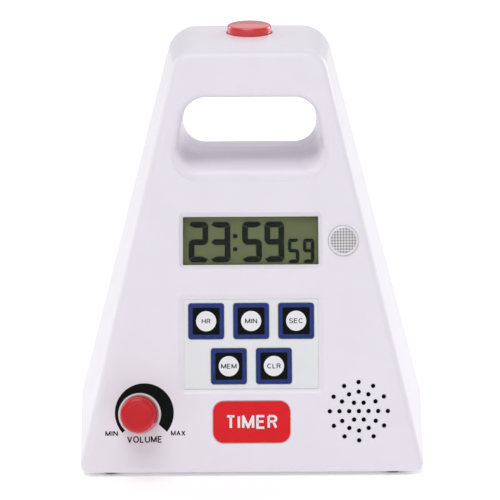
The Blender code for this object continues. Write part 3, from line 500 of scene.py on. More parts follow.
def plate(bm, centre, half, corner, levels, matrix=IDENTITY, steps=8):
    """A rounded block through (depth, spread) levels, its outline grown by spread at each depth."""
    rings = []
    for depth, spread in levels:
        size = (half[0] + spread, half[1] + spread)
        radius = max(corner + spread, 0.05 * MM)
        rings.append([(p.x, depth, p.y) for p in rectangle(centre, size, radius, steps)])
    skin(bm, rings, matrix)


def box(bm, centre, size):
    bmesh.ops.create_cube(bm, size=1.0, matrix=SHIFT(centre) @ Matrix.Diagonal((*size, 1.0)))


def rod(bm, centre, radius, length, axis="Z", steps=32):
    turn = {"X": Matrix.Rotation(math.pi / 2, 4, "Y"), "Y": OUTWARD, "Z": IDENTITY}[axis]
    bmesh.ops.create_cone(bm, cap_ends=True, segments=steps, radius1=radius, radius2=radius,
                          depth=length, matrix=SHIFT(centre) @ turn)


def tool_of(fill):
    bm = bmesh.new()
    fill(bm)
    return mesh_of("tool", bm)


def through(*rings):
    """The solid mesh through rings of equal point counts."""
    return tool_of(lambda bm: skin(bm, rings))


def combine(mesh, tool, operation="DIFFERENCE"):
    """The exact boolean of two meshes, as a new mesh."""
    target = bpy.data.objects.new("target", mesh)
    other = bpy.data.objects.new("tool", tool)
    for obj in (target, other):
        bpy.context.scene.collection.objects.link(obj)
    modifier = target.modifiers.new("combine", "BOOLEAN")
    modifier.operation = operation
    modifier.object = other
    modifier.solver = "EXACT"
    graph = bpy.context.evaluated_depsgraph_get()
    graph.update()
    made = bpy.data.meshes.new_from_object(target.evaluated_get(graph))
    for obj in (target, other):
        bpy.data.objects.remove(obj)
    return made


# ---------- case outline


def case_ring(offset, inset, corner, tilt=0.0):
    """The case's outline where the plane y = offset + tilt * z cuts it, moved in by inset."""
    stretch = math.hypot(1.0, tilt)
    half_at_base = BASE_HALF_WIDTH + SIDE_FLARE * offset
    lean = (SIDE_LEAN - SIDE_FLARE * tilt) / stretch
    rise = math.tan(TOP_SLOPE)
    top = (TOP_FRONT_Z + (offset - TOP_FRONT_Y) * rise) / (1 - tilt * rise) * stretch - inset
    narrow = inset * math.hypot(1.0, lean)
    low_half = half_at_base - lean * inset - narrow
    high_half = half_at_base - lean * top - narrow
    corners = [(-low_half, inset), (low_half, inset), (high_half, top), (-high_half, top)]
    base = max(BASE_CORNER - inset, 0.6 * MM)
    radii = [base, base, corner - inset, corner - inset]
    return [
        (p.x, offset + tilt * p.y / stretch, p.y / stretch)
        for p in rounded(corners, radii, CORNER_STEPS)
    ]


def edge_rings(radius, steps):
    """(inset, depth) pairs that round an edge, from the flat face to the side."""
    for step in range(steps + 1):
        angle = math.pi / 2 * step / steps
        yield radius * (1 - math.sin(angle)), radius * (1 - math.cos(angle))


def corner_at(y):
    return TOP_CORNER_FRONT + (TOP_CORNER_REAR - TOP_CORNER_FRONT) * y / CASE_DEPTH


def between(ends, share):
    return ends[0] + (ends[1] - ends[0]) * share


def grip_ring(offset, tilt=0.0, lip=0.0, deepen=0.0, wall=0.0, low_lip=None, low_deepen=None):
    """The handle opening's outline in a plane, grown by a share of its lip and by a wall.

    deepen moves each point back by a share of the lip there. The lower edge may have its own
    shares.
    """
    low_lip = lip if low_lip is None else low_lip
    low_deepen = deepen if low_deepen is None else low_deepen
    middle = (GRIP_LOW_Z[0] + GRIP_HIGH_Z[0]) / 2
    t = (offset + tilt * middle) / CASE_DEPTH
    side = (lip * GRIP_LIP_SIDE + wall) * math.hypot(1.0, GRIP_SIDE_LEAN)
    half = between(GRIP_HALF_WIDTH, t) + side
    low = between(GRIP_LOW_Z, t) - low_lip * GRIP_LIP_LOW * math.cos(FACE_TILT) - wall
    high = between(GRIP_HIGH_Z, t) + lip * GRIP_LIP_HIGH * math.cos(FACE_TILT) + wall
    low_half = half + GRIP_SIDE_LEAN * (middle - low)
    high_half = half - GRIP_SIDE_LEAN * (high - middle)
    grow = lip * GRIP_LIP_CORNER + wall
    low_radius = between(GRIP_CORNER_LOW, t) + grow
    high_radius = GRIP_CORNER_HIGH + grow
    corners = [(-low_half, low), (low_half, low), (high_half, high), (-high_half, high)]
    outline = rounded(corners, [low_radius, low_radius, high_radius, high_radius], 24)
    points = []
    for i, p in enumerate(outline):
        along = outline[(i + 1) % len(outline)] - outline[i - 1]
        level = along.x**2 / along.length_squared
        end = low_deepen * GRIP_LIP_LOW if p.y < middle else deepen * GRIP_LIP_HIGH
        back = end * level + deepen * GRIP_LIP_SIDE * (1 - level)
        points.append((p.x, offset + tilt * p.y + back, p.y))
    return points


# ---------- front case


def screw_places():
    for level, x, z, start in CASE_SCREWS:
        for side, sign in SIDES:
            yield level, side, sign * x * MM, z * MM, start * MM


def drill(bm, radius, edge, steps, place):
    """A cutter for a round hole whose mouth is rounded over edge at the surface."""
    above, depth, arc_steps = 1.0 * MM, 6 * MM, 4
    profile = [(0, above), (radius + edge, above)]
    for step in range(arc_steps + 1):
        angle = math.pi / 2 * step / arc_steps
        profile.append((radius + edge * (1 - math.sin(angle)), -edge * math.sin(angle)))
    revolve(bm, profile + [(radius, -depth), (0, -depth)], steps, place)


def front_openings(bm):
    """Everything that is cut through the front case, apart from the handle opening."""
    plate(bm, DISPLAY_CENTRE, DISPLAY_HALF, 0.5 * MM, mm(
        (-1, 2.9), (0, 2.05), (0.12, 1.85), (1.6, 0.25), (1.8, 0.06), (2, 0), (5, 0)), FACE_LOCAL)
    plate(bm, KEYPAD_CENTRE, KEYPAD_HALF, 0.8 * MM, mm(
        (-1, 3.4), (0, 2.3), (0.12, 2.05), (0.46, 1.35), (0.8, 0.65), (0.88, 0.3), (0.93, 0),
        (1, -0.25), (KEYPAD_DEPTH / MM, -0.25)), FACE_LOCAL)
    plate(bm, PLATE_CENTRE, (PLATE_HALF[0] + GAP, PLATE_HALF[1] + GAP), PLATE_CORNER + GAP,
          mm((-1, 0.25), (0, 0.25), (0.08, 0.1), (0.25, 0), (0.5, 0)), FACE_LOCAL, 16)
    holes = [(LAMP_CENTRE, LAMP_RADIUS + 0.06 * MM, 0.3 * MM, 96),
             (KNOB_CENTRE, 3.9 * MM, 0.2 * MM, 48)]
    for radius, count in GRILLE_RINGS:
        for i in range(count):
            angle = 2 * math.pi * i / count
            place = (SPEAKER_CENTRE[0] + radius * math.cos(angle),
                     SPEAKER_CENTRE[1] + radius * math.sin(angle))
            holes.append((place, GRILLE_HOLE_RADIUS, 0.28 * MM, 24))
    for (x, s), radius, edge, steps in holes:
        drill(bm, radius, edge, steps, FACE_LOCAL @ SHIFT((x, 0, s)) @ OUTWARD)
    drill(bm, BUTTON_RADIUS + 0.35 * MM, 0.4 * MM, 96, TOP_LOCAL @ SHIFT((0, BUTTON_PLACE, 0)))
    for _, x, y in FOOT_PLACES:
        for _, sign in SIDES:
            rod(bm, (sign * x * MM, y * MM, -0.2 * MM), FOOT_RADIUS + 0.4 * MM, 2 * MM, "Z", 40)


# The lower lip: (share of the way in, share of the way back) down its step, over its flat and round
LOW_LIP = ((0.0, 0.0), (0.025, 0.01), (0.05, 0.05), (0.07, 0.10), (0.10, 0.13), (0.17, 0.145),
           (0.28, 0.158), (0.38, 0.172), (0.48, 0.195), (0.58, 0.235), (0.68, 0.29),
           (0.78, 0.38), (0.87, 0.52), (0.95, 0.74), (1.0, 1.0))


def grip_mouth(bm):
    mouth = [grip_ring(-3 * MM, FACE_LEAN, 1.0)]
    for step, (inward, back) in enumerate(LOW_LIP):
        angle = math.pi / 2 * step / (len(LOW_LIP) - 1)
        mouth.append(grip_ring(0.0, FACE_LEAN, 1 - math.sin(angle), 1 - math.cos(angle),
                               low_lip=1 - inward, low_deepen=back))
    mouth.append(grip_ring(GRIP_SEAM_Y - 0.35 * MM))
    mouth.append(grip_ring(GRIP_SEAM_Y, wall=0.3 * MM))
    mouth.append(grip_ring(GRIP_SEAM_Y + 2 * MM, wall=0.3 * MM))
    skin(bm, mouth)


def make_front_case():
    rings = [
        case_ring(depth, inset, TOP_CORNER_FRONT, FACE_LEAN)
        for inset, depth in edge_rings(FACE_EDGE_RADIUS, EDGE_STEPS)
    ]
    rings.append(case_ring(SEAM_Y - 0.3 * MM, 0.0, corner_at(SEAM_Y)))
    rings.append(case_ring(SEAM_Y, 0.25 * MM, corner_at(SEAM_Y)))
    mesh = combine(through(*rings), through(
        case_ring(WALL / math.cos(FACE_TILT), WALL, TOP_CORNER_FRONT, FACE_LEAN),
        case_ring(SEAM_Y + 2 * MM, WALL, corner_at(SEAM_Y))))
    mesh = combine(mesh, through(
        grip_ring(WALL / 2, FACE_LEAN, wall=GRIP_WALL),
        grip_ring(GRIP_SEAM_Y, wall=GRIP_WALL)), "UNION")
    mesh = combine(mesh, tool_of(grip_mouth))
    mesh = combine(mesh, tool_of(front_openings))
    bm = bmesh.new()
    bm.from_mesh(mesh)
    for _, _, x, z, start in screw_places():
        length = SEAM_Y - 0.6 * MM - start
        bore = length - 11 * MM
        post = [(0, 0), (POST_RADIUS, 0), (POST_RADIUS, length), (1.55 * MM, length),
                (1.55 * MM, bore), (0, bore)]
        revolve(bm, soften(post, 0.15 * MM), 32, SHIFT((x, start, z)) @ REARWARD)
    piece("front_case", mesh_of("front_case", bm), "case_white", "case", CASE,
          ["front_shell"], weighted=True)


# ---------- rear case


def rear_openings(bm):
    bay_z = (BAY_LOW_Z + BAY_HIGH_Z) / 2
    half_height = (BAY_HIGH_Z - BAY_LOW_Z) / 2
    seat = CASE_DEPTH - 2.5 * MM
    spread = DOOR_MARGIN + GAP
    plate(bm, (0, bay_z), (BAY_HALF_WIDTH, half_height), 0.8 * MM, (
        (BAY_FRONT_Y, -0.4 * MM), (BAY_FRONT_Y + 0.4 * MM, 0.0), (seat, 0.0),
        (seat + 0.01 * MM, spread), (CASE_DEPTH - 0.3 * MM, spread),
        (CASE_DEPTH, spread + 0.3 * MM), (CASE_DEPTH + 1 * MM, spread + 0.3 * MM)))
    for _, _, x, z, _ in screw_places():
        well = [(0, 1.0), (3.75, 1.0), (3.75, 0.0), (3.5, -0.15), (3.4, -0.4), (3.4, -1.8),
                (1.8, -1.8), (1.8, -8.0), (0, -8.0)]
        revolve(bm, mm(*well), 40, SHIFT((x, CASE_DEPTH, z)) @ REARWARD)


def make_rear_case():
    seam = SEAM_Y + GAP
    rings = [case_ring(seam, 0.25 * MM, corner_at(SEAM_Y)),
             case_ring(seam + 0.3 * MM, 0.0, corner_at(SEAM_Y))]
    for inset, depth in reversed(list(edge_rings(REAR_EDGE_RADIUS, EDGE_STEPS))):
        rings.append(case_ring(CASE_DEPTH - depth, inset, TOP_CORNER_REAR))
    mesh = through(*rings)
    inset, lip_wall = WALL + 0.5 * MM, 1.6 * MM
    corner = corner_at(SEAM_Y)
    lip = through(case_ring(SEAM_Y - 3 * MM, inset, corner),
                  case_ring(SEAM_Y + 1 * MM, inset, corner))
    lip_room = through(case_ring(SEAM_Y - 4 * MM, inset + lip_wall, corner),
                       case_ring(SEAM_Y + 0.8 * MM, inset + lip_wall, corner))

    def lip_gaps(bm):
        for _, _, x, z, _ in screw_places():
            rod(bm, (x, SEAM_Y - 2 * MM, z), POST_RADIUS + 0.5 * MM, 4.6 * MM, "Y")
        box(bm, (0, SEAM_Y - 2.4 * MM, TOP_FRONT_Z), (32 * MM, 5 * MM, 24 * MM))

    mesh = combine(mesh, combine(combine(lip, lip_room), tool_of(lip_gaps)), "UNION")
    mesh = combine(mesh, through(grip_ring(GRIP_SEAM_Y + GAP, wall=GRIP_WALL),
                                 grip_ring(SEAM_Y + 1 * MM, wall=GRIP_WALL)), "UNION")
    mesh = combine(mesh, through(
        grip_ring(GRIP_SEAM_Y - 1 * MM, wall=0.3 * MM),
        grip_ring(GRIP_SEAM_Y + GAP, wall=0.3 * MM),
        grip_ring(GRIP_SEAM_Y + GAP + 0.35 * MM),
        grip_ring(CASE_DEPTH - 1.5 * MM),
        grip_ring(CASE_DEPTH - 0.75 * MM, wall=0.2 * MM),
        grip_ring(CASE_DEPTH - 0.2 * MM, wall=0.75 * MM),
        grip_ring(CASE_DEPTH, wall=1.5 * MM),
        grip_ring(CASE_DEPTH + 1 * MM, wall=1.5 * MM)))
    walls = 2 * MM
    depth = SEAM_Y + 1 * MM - BAY_FRONT_Y + walls
    mesh = combine(mesh, tool_of(lambda bm: box(
        bm, (0, BAY_FRONT_Y - walls + depth / 2, (BAY_LOW_Z + BAY_HIGH_Z) / 2),
        (2 * (BAY_HALF_WIDTH + walls), depth, BAY_HIGH_Z - BAY_LOW_Z + 2 * walls))), "UNION")
    mesh = combine(mesh, tool_of(rear_openings))
    piece("rear_case", shade(mesh), "case_white", "case", CASE, ["rear_cover"],
          weighted=True)


def make_door():
    """The door's origin is on its hinge line, along its lower outer edge."""
    height = BAY_HIGH_Z - BAY_LOW_Z + 2 * DOOR_MARGIN
    half = BAY_HALF_WIDTH + DOOR_MARGIN
    panel, panel_depth = 13 * MM, 0.35 * MM
    back = -DOOR_THICKNESS / MM
    mesh = tool_of(lambda bm: plate(bm, (0, height / 2), (half, height / 2), 1.5 * MM, mm(
        (back, -0.2), (back + 0.2, 0), (-0.35, 0), (-0.1, -0.1), (0, -0.35))))

    def hollows(bm):
        top = height - DOOR_MARGIN - 6 * MM
        rod(bm, (0, 1.2 * MM, top), 2.4 * MM, 18 * MM, "X", 48)
        for i in range(6):
            rod(bm, (0, 0.55 * MM, top - (7 + 2.4 * i) * MM), 0.9 * MM, (26 - 4 * i) * MM, "X", 24)
        plate(bm, (0, panel), (20 * MM, 5 * MM), 1.2 * MM,
              ((-panel_depth, 0.0), (1 * MM, 0.1 * MM)))

    mesh = combine(mesh, tool_of(hollows))
    place = CASE @ SHIFT((0, CASE_DEPTH, BAY_LOW_Z - DOOR_MARGIN))
    piece("bay_door", shade(mesh), "case_white", "battery_door", place,
          ["battery_door"], weighted=True)
    words = place @ SHIFT((0, -panel_depth, panel)) @ REARWARD @ Matrix.Rotation(math.pi, 4, "Z")
    lettering("bay_door_text", "4 X AA", 4.0 * MM, words, "case_white", "battery_door",
              thickness=0.25 * MM)


# ---------- lettering and flat print


def arc(cx, cy, rx, ry, first, last):
    """Points of an ellipse from one angle to another, in degrees."""
    steps = max(2, round(abs(last - first) / 15))
    angles = [math.radians(first + (last - first) * i / steps) for i in range(steps + 1)]
    return [(cx + rx * math.cos(a), cy + ry * math.sin(a)) for a in angles]


# Each letter: its width for a height of 1, and the lines that its pen follows
LETTERS = {
    "A": (0.72, [[(0, 0), (0.36, 1), (0.72, 0)], [(0.13, 0.33), (0.59, 0.33)]]),
    "C": (0.72, [arc(0.38, 0.5, 0.38, 0.5, 45, 315)]),
    "E": (0.56, [[(0.56, 1), (0, 1), (0, 0), (0.56, 0)], [(0, 0.53), (0.5, 0.53)]]),
    "H": (0.66, [[(0, 0), (0, 1)], [(0.66, 0), (0.66, 1)], [(0, 0.53), (0.66, 0.53)]]),
    "I": (0.0, [[(0, 0), (0, 1)]]),
    "L": (0.5, [[(0, 1), (0, 0), (0.5, 0)]]),
    "M": (0.8, [[(0, 0), (0, 1), (0.4, 0.06), (0.8, 1), (0.8, 0)]]),
    "N": (0.66, [[(0, 0), (0, 1), (0.66, 0), (0.66, 1)]]),
    "O": (0.8, [arc(0.4, 0.5, 0.4, 0.5, 90, 270), arc(0.4, 0.5, 0.4, 0.5, -90, 90)]),
    "R": (0.62, [[(0, 0), (0, 1)],
                 [(0, 1), (0.36, 1), *arc(0.36, 0.765, 0.24, 0.235, 75, -75), (0.36, 0.53),
                  (0, 0.53)],
                 [(0.36, 0.53), (0.6, 0)]]),
    "S": (0.6, [[*arc(0.3, 0.745, 0.28, 0.255, 20, 270), *arc(0.3, 0.245, 0.3, 0.245, 75, -160)]]),
    "T": (0.6, [[(0, 1), (0.6, 1)], [(0.3, 1), (0.3, 0)]]),
    "U": (0.66, [[(0, 1), (0, 0.33), *arc(0.33, 0.33, 0.33, 0.33, 195, 345), (0.66, 0.33),
                  (0.66, 1)]]),
    "V": (0.68, [[(0, 1), (0.34, 0), (0.68, 1)]]),
    "X": (0.66, [[(0, 0), (0.66, 1)], [(0, 1), (0.66, 0)]]),
    "4": (0.62, [[(0.46, 0), (0.46, 1), (0, 0.3), (0.62, 0.3)]]),
    " ": (0.3, []),
}


def pen_outline(line, half):
    """The outline of a pen stroke along a line, with its outer corners cut flat."""
    points = [Vector(p) for p in line]
    left, right = [], []
    for i, here in enumerate(points):
        ahead = (points[min(i + 1, len(points) - 1)] - points[min(i, len(points) - 2)]).normalized()
        back = (points[max(i, 1)] - points[max(i - 1, 0)]).normalized()
        normals = [Vector((-d.y, d.x)) for d in (back, ahead)]
        bisector = (normals[0] + normals[1]).normalized()
        reach = half / max(bisector.dot(normals[0]), 0.15)
        for side, row in ((1, left), (-1, right)):
            outer = back.cross(ahead) * side < 0
            if outer and reach > 1.3 * half:
                row += [here + n * half * side + d * half * 0.6
                        for n, d in zip(normals, (back, -ahead))]
            else:
                row.append(here + bisector * reach * side)
    return [(p.x, p.y) for p in left + right[::-1]]


def lettering(name, words, height, place, finish, body, weight=0.17, spacing=0.14,
              thickness=CASE_PRINT, width=None):
    """Plain block capitals, centred on a place's XY plane, each a set of thin pen strokes."""
    total = sum(LETTERS[c][0] for c in words) + (spacing + weight) * (len(words) - 1)
    tall = height / (1 + weight)
    across = width / (total + weight) if width else tall
    bm = bmesh.new()
    x = -total / 2
    for c in words:
        for line in LETTERS[c][1]:
            outline = pen_outline([(x + px, py - 0.5) for px, py in line], weight / 2)
            prism(bm, [(px * across, py * tall) for px, py in outline], thickness)
        x += LETTERS[c][0] + spacing + weight
    piece(name, mesh_of(name, bm), finish, body, place)


def on_face(x, s, depth):
    """Turns a flat print's XY plane onto the face at a depth behind it."""
    return FACE @ SHIFT((x, depth, s)) @ OUTWARD


def prism(bm, outline, thickness):
    """A thin flat shape that rises from its XY plane."""
    low = [bm.verts.new((x, y, 0)) for x, y in outline]
    high = [bm.verts.new((x, y, thickness)) for x, y in outline]
    bm.faces.new(low)
    bm.faces.new(high)
    for i in range(len(outline)):
        j = (i + 1) % len(outline)
        bm.faces.new((low[i], low[j], high[j], high[i]))


SEGMENTS = {"2": "abged", "3": "abgcd", "5": "afgcd", "9": "abcdfg"}


def add_digit(bm, figure, x, y, w, h, t, g):
    """One seven-segment figure from (x, y): width, height, stroke and the gap between strokes."""
    c = 0.5 * t
    middle = h / 2
    shapes = {
        "a": [(g + c, h), (w - g - c, h), (w - g, h - c), (w - t - g, h - t), (t + g, h - t),
              (g, h - c)],
        "d": [(g + c, 0), (w - g - c, 0), (w - g, c), (w - t - g, t), (t + g, t), (g, c)],
        "g": [(1.5 * g, middle), (t * 0.6 + g, middle + t / 2), (w - t * 0.6 - g, middle + t / 2),
              (w - 1.5 * g, middle), (w - t * 0.6 - g, middle - t / 2),
              (t * 0.6 + g, middle - t / 2)],
        "f": [(0, h - g - c), (g, h - c - 2 * g), (t, h - t - g), (t, middle + t / 2 + g),
              (t * 0.4, middle + t / 4 + g), (0, middle + g)],
    }
    shapes["b"] = [(w - px, py) for px, py in shapes["f"]]
    shapes["e"] = [(px, h - py) for px, py in shapes["f"]]
    shapes["c"] = [(w - px, h - py) for px, py in shapes["f"]]
    for letter in SEGMENTS[figure]:
        prism(bm, [(x + px, y + py) for px, py in shapes[letter]], FILM_PRINT)


def make_display():
    panel_front = WALL + 2 * GAP + 1.0 * MM
    bm = bmesh.new()
    low = DIGIT_FOOT - DISPLAY_CENTRE[1]
    for figure, x in (("2", -29.2), ("3", -18.8), ("5", -4.0), ("9", 6.5)):
        add_digit(bm, figure, x * MM, low, *BIG_DIGIT)
    for figure, x in (("5", 17.5), ("9", 24.6)):
        add_digit(bm, figure, x * MM, low - 0.5 * MM, *SMALL_DIGIT)
    for height in (6.1, 12.3):
        prism(bm, rectangle((-7.3 * MM, low + height * MM), (1.0 * MM, 0.95 * MM), 0.3 * MM, 4),
              FILM_PRINT)
    piece("display_figures", mesh_of("display_figures", bm), "display_ink", "case",
          on_face(0, DISPLAY_CENTRE[1], panel_front - 0.2 * MM))


def flat_print(name, outline, finish, body, place):
    piece(name, tool_of(lambda bm: prism(bm, outline, FILM_PRINT)), finish, body, place)


def make_key(name, words, width, x, s):
    body = f"key_{name}"
    bm = bmesh.new()
    front = KEY_BACK - KEY_THICKNESS
    plate(bm, (0, 0), (KEY_HALF, KEY_HALF), KEY_CORNER, (
        (KEY_BACK, 0.0), (front + 0.3 * MM, 0.0), (front + 0.14 * MM, -0.05 * MM),
        (front + 0.04 * MM, -0.15 * MM), (front, -0.32 * MM)), steps=10)
    piece(f"pad_{name}", mesh_of(f"pad_{name}", bm), "print_blue", body, FACE @ SHIFT((x, 0, s)),
          [body], weighted=True)
    square = rectangle((0, 0), (KEY_SQUARE_HALF, KEY_SQUARE_HALF), 0.7 * MM, 5)
    flat_print(f"pad_{name}_square", square, "print_black", body, on_face(x, s, front))
    disc = [(KEY_DISC_RADIUS * math.cos(a), KEY_DISC_RADIUS * math.sin(a))
            for a in (2 * math.pi * i / 64 for i in range(64))]
    flat_print(f"pad_{name}_disc", disc, "print_white", body,
               on_face(x, s, front - FILM_PRINT))
    lettering(f"pad_{name}_text", words, 2.3 * MM, on_face(x, s, front - 2 * FILM_PRINT),
              "print_black", body, thickness=FILM_PRINT, width=width)


def make_keys():
    row = [("hr", "HR", 4.1, -1.0, 0), ("min", "MIN", 5.6, 0.0, 0), ("sec", "SEC", 6.6, 1.0, 0),
           ("mem", "MEM", 7.2, -0.5, 1), ("clr", "CLR", 6.3, 0.5, 1)]
    for name, words, width, across, down in row:
        make_key(name, words, width * MM, across * KEY_PITCH, KEY_TOP_ROW - down * KEY_PITCH)


def make_volume_scale():
    """A wedge ring between two circles, open at the bottom, and its three words."""
    outer, outer_radius, outer_turn = (-49.9, 28.5), 13.7, (-40.2, 222.5)
    inner, inner_radius, inner_turn = (-52.1, 27.8), 9.95, (-27.6, 227.5)
    steps = 90
    bm = bmesh.new()
    rows = []
    for i in range(steps + 1):
        row = []
        for centre, radius, turn in ((outer, outer_radius, outer_turn),
                                     (inner, inner_radius, inner_turn)):
            angle = math.radians(turn[0] + (turn[1] - turn[0]) * i / steps)
            x, y = centre[0] + radius * math.cos(angle), centre[1] + radius * math.sin(angle)
            row += [bm.verts.new((x * MM, y * MM, z)) for z in (0.0, CASE_PRINT)]
        rows.append((row[0], row[1], row[3], row[2]))
    for near, far in zip(rows, rows[1:]):
        for i in range(4):
            j = (i + 1) % 4
            bm.faces.new((near[i], near[j], far[j], far[i]))
    bm.faces.new(rows[0])
    bm.faces.new(rows[-1])
    piece("volume_wedge", mesh_of("volume_wedge", bm), "print_black", "case",
          on_face(0, 0, 0.0))
    for name, words, x, s, height, width in (
            ("volume_min_text", "MIN", -65.1, 19.0, 2.45, 5.9),
            ("volume_max_text", "MAX", -34.2, 19.0, 2.45, 6.7),
            ("volume_text", "VOLUME", -49.8, 16.2, 3.1, 16.3)):
        lettering(name, words, height * MM, on_face(x * MM, s * MM, 0.0), "print_black", "case",
                  weight=0.21, width=width * MM)


# ---------- knob, button, lamp and plate


def make_knob():
    reach = KNOB_REACH / MM
    profile = [(0, reach - 0.3), (4.9, reach - 0.25), (5.6, reach - 0.08), (6.1, reach),
               (6.8, reach - 0.16), (7.45, reach - 0.6), (7.9, reach - 1.25), (8.15, reach - 2.1),
               (9.0, 1.3), (8.85, 0.85), (7.4, 0.8), (7.4, 4.4), (3.1, 4.4),
               (3.1, 12.4), (0, 12.4)]
    piece("volume_dial", turned("volume_dial", profile, 96, 0.45), "red_satin", "volume_knob",
          on_face(*KNOB_CENTRE, 0.0), ["volume_knob"])


def make_button():
    r = BUTTON_RADIUS / MM
    h = BUTTON_HEIGHT / MM + 0.25
    profile = [(0, h), (3.0, h - 0.04), (6.0, h - 0.16), (8.4, h - 0.32), (r - 1.2, h - 0.45),
               (r - 0.4, h - 0.75), (r - 0.05, h - 1.3), (r, h - 1.9), (r, -3.1), (12.7, -3.1),
               (12.7, -4.3), (8.6, -4.3), (8.6, 1.6), (3.0, 1.6), (3.0, -6.0), (0, -6.0)]
    piece("stop_button_top", turned("stop_button_top", profile, 112, 0.5), "red_gloss",
          "stop_button", TOP @ SHIFT((0, BUTTON_PLACE, 0)), ["stop_button_cap"])


def make_spring():
    """The button's return spring, drawn at rest; in the real timer it shortens as the button goes
    in.
    """
    coil, wire, turns = 7.0 * MM, 0.35 * MM, 6.5
    low, high = -16.2 * MM, 1.3 * MM
    steps = 260
    rings = []
    for i in range(steps + 1):
        turn = turns * i / steps
        share = min(max((turn - 0.75) / (turns - 1.5), 0.0), 1.0)
        out = Vector((math.cos(2 * math.pi * turn), math.sin(2 * math.pi * turn), 0))
        height = low + wire + (high - low - 2 * wire) * share
        centre = out * coil + Vector((0, BUTTON_PLACE, height))
        ring = []
        for side in range(10):
            angle = 2 * math.pi * side / 10
            ring.append(centre + (out * math.cos(angle) + Vector((0, 0, math.sin(angle)))) * wire)
        rings.append(ring)
    bm = bmesh.new()
    skin(bm, rings)
    spring = piece("button_spring", mesh_of("button_spring", bm, 80), "steel", "case", TOP,
                   ["stop_button_spring"])
    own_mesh(spring)


def make_lamp():
    """A moulded dome with a grid of small facets inside a smooth ring."""
    rim = 6.15 * MM
    back = -(WALL + GAP + 1.0 * MM)
    flange = -(WALL + GAP)
    profile = [(0, 2.1 * MM)]
    count = 44
    for i in range(1, count + 1):
        radius = rim * i / count
        profile.append((radius, 0.2 * MM + 1.9 * MM * math.sqrt(1 - (radius / LAMP_RADIUS) ** 2)))
    edge = profile[-1][1]
    profile += [(rim + 0.12 * MM, edge - 0.12 * MM), (rim + 0.4 * MM, edge - 0.16 * MM),
                (LAMP_RADIUS - 0.12 * MM, 0.42 * MM), (LAMP_RADIUS, 0.15 * MM),
                (LAMP_RADIUS, flange), (8.4 * MM, flange), (8.4 * MM, back), (5.4 * MM, back),
                (5.4 * MM, -1.0 * MM), (0, -0.6 * MM)]

    def facets(point, i):
        if 0 < i <= count:
            tent = [abs((point[a] / LAMP_FACET) % 1.0 - 0.5) * 2 for a in (0, 1)]
            fade = min(1.0, (count - i) / 6)
            point.z -= 0.16 * MM * (2 - tent[0] - tent[1]) / 2 * fade
        return point

    bm = bmesh.new()
    revolve(bm, profile, 144, shape=facets)
    piece("lamp_dome", mesh_of("lamp_dome", bm, 50), "lamp_lens", "case",
          on_face(*LAMP_CENTRE, 0.0), ["alarm_lamp_lens"], local=True)


def make_plate():
    bm = bmesh.new()
    plate(bm, (0, 0), PLATE_HALF, PLATE_CORNER, mm(
        (0.5, 0), (0, 0), (-0.1, -0.06), (-0.17, -0.16), (-0.2, -0.34)), steps=20)
    piece("name_plate", mesh_of("name_plate", bm), "red_print", "case",
          FACE @ SHIFT((PLATE_CENTRE[0], 0, PLATE_CENTRE[1])), ["front_plate"],
          weighted=True)
    lettering("name_plate_text", "TIMER", 6.4 * MM, on_face(*PLATE_CENTRE, -0.2 * MM),
              "print_white", "case", weight=0.2, spacing=0.16, width=24 * MM)


# ---------- feet, screws and cells


def make_feet():
    h = FOOT_HEIGHT / MM
    profile = [(0, 0.5), (5.0, 0.5), (5.0, -h + 0.5), (4.5, -h), (3.0, -h), (2.8, -h + 0.25),
               (0, -h + 0.25)]
    mesh = turned("foot", profile, 48, 0.2)
    for end, x, y in FOOT_PLACES:
        for side, sign in SIDES:
            piece(f"pad_foot_{end}_{side}", mesh, "rubber", "case",
                  CASE @ SHIFT((sign * x * MM, y * MM, 0)), [f"foot_{end}_{side}"],
                  local=True)


def make_screws():
    profile = [(0, 0.0), (1.4, -0.03), (2.3, -0.25), (2.8, -0.65), (2.9, -1.0), (2.9, -1.5),
               (1.3, -1.5), (1.2, -11.0), (0, -12.0)]
    mesh = turned("case_screw", profile, 40, 0.12)

    long, thin, deep = 3 * MM, 0.62 * MM, 1.4 * MM

    def arm(size):
        return tool_of(lambda bm: box(bm, (0, 0, -0.45 * MM), size))

    cross = combine(arm((long, thin, deep)), arm((thin, long, deep)), "UNION")
    point = tool_of(lambda bm: rod(bm, (0, 0, -0.9 * MM), 0.75 * MM, 1.2 * MM, steps=16))
    mesh = shade(combine(mesh, combine(cross, point, "UNION")))
    for level, side, x, z, _ in screw_places():
        place = CASE @ SHIFT((x, CASE_DEPTH - 0.2 * MM, z)) @ REARWARD
        piece(f"screw_{level}_{side}", mesh, "steel", "case", place,
              [f"case_screw_{level}_{side}"], local=True)


def make_cells():
    length = CELL_LENGTH / MM
    body = length - 1.2
    r = CELL_RADIUS / MM
    profile = [(0, length), (2.5, length), (2.6, body + 0.1), (3.2, body - 0.3), (5.9, body - 0.3),
               (6.4, body), (r, body - 0.5), (r, body - 2.0), (r - 0.15, body - 2.2),
               (r, body - 2.4), (r, 0.9), (6.7, 0.2), (5.2, 0.2), (4.9, 0.0), (0, 0)]
    mesh = turned("cell", profile, 56, 0.3)
    middle = (BAY_LOW_Z + BAY_HIGH_Z) / 2
    for i in range(4):
        flip = i % 2
        foot = middle + (CELL_LENGTH / 2 if flip else -CELL_LENGTH / 2)
        place = CASE @ SHIFT(((i - 1.5) * CELL_PITCH, CELL_Y, foot))
        piece(f"cell_{i + 1}", mesh, "cell_jacket", "case",
              place @ Matrix.Rotation(math.pi * flip, 4, "X"),
              [f"battery_cell_{i + 1}"], local=True)


# ---------- finishes of the CAD nodes


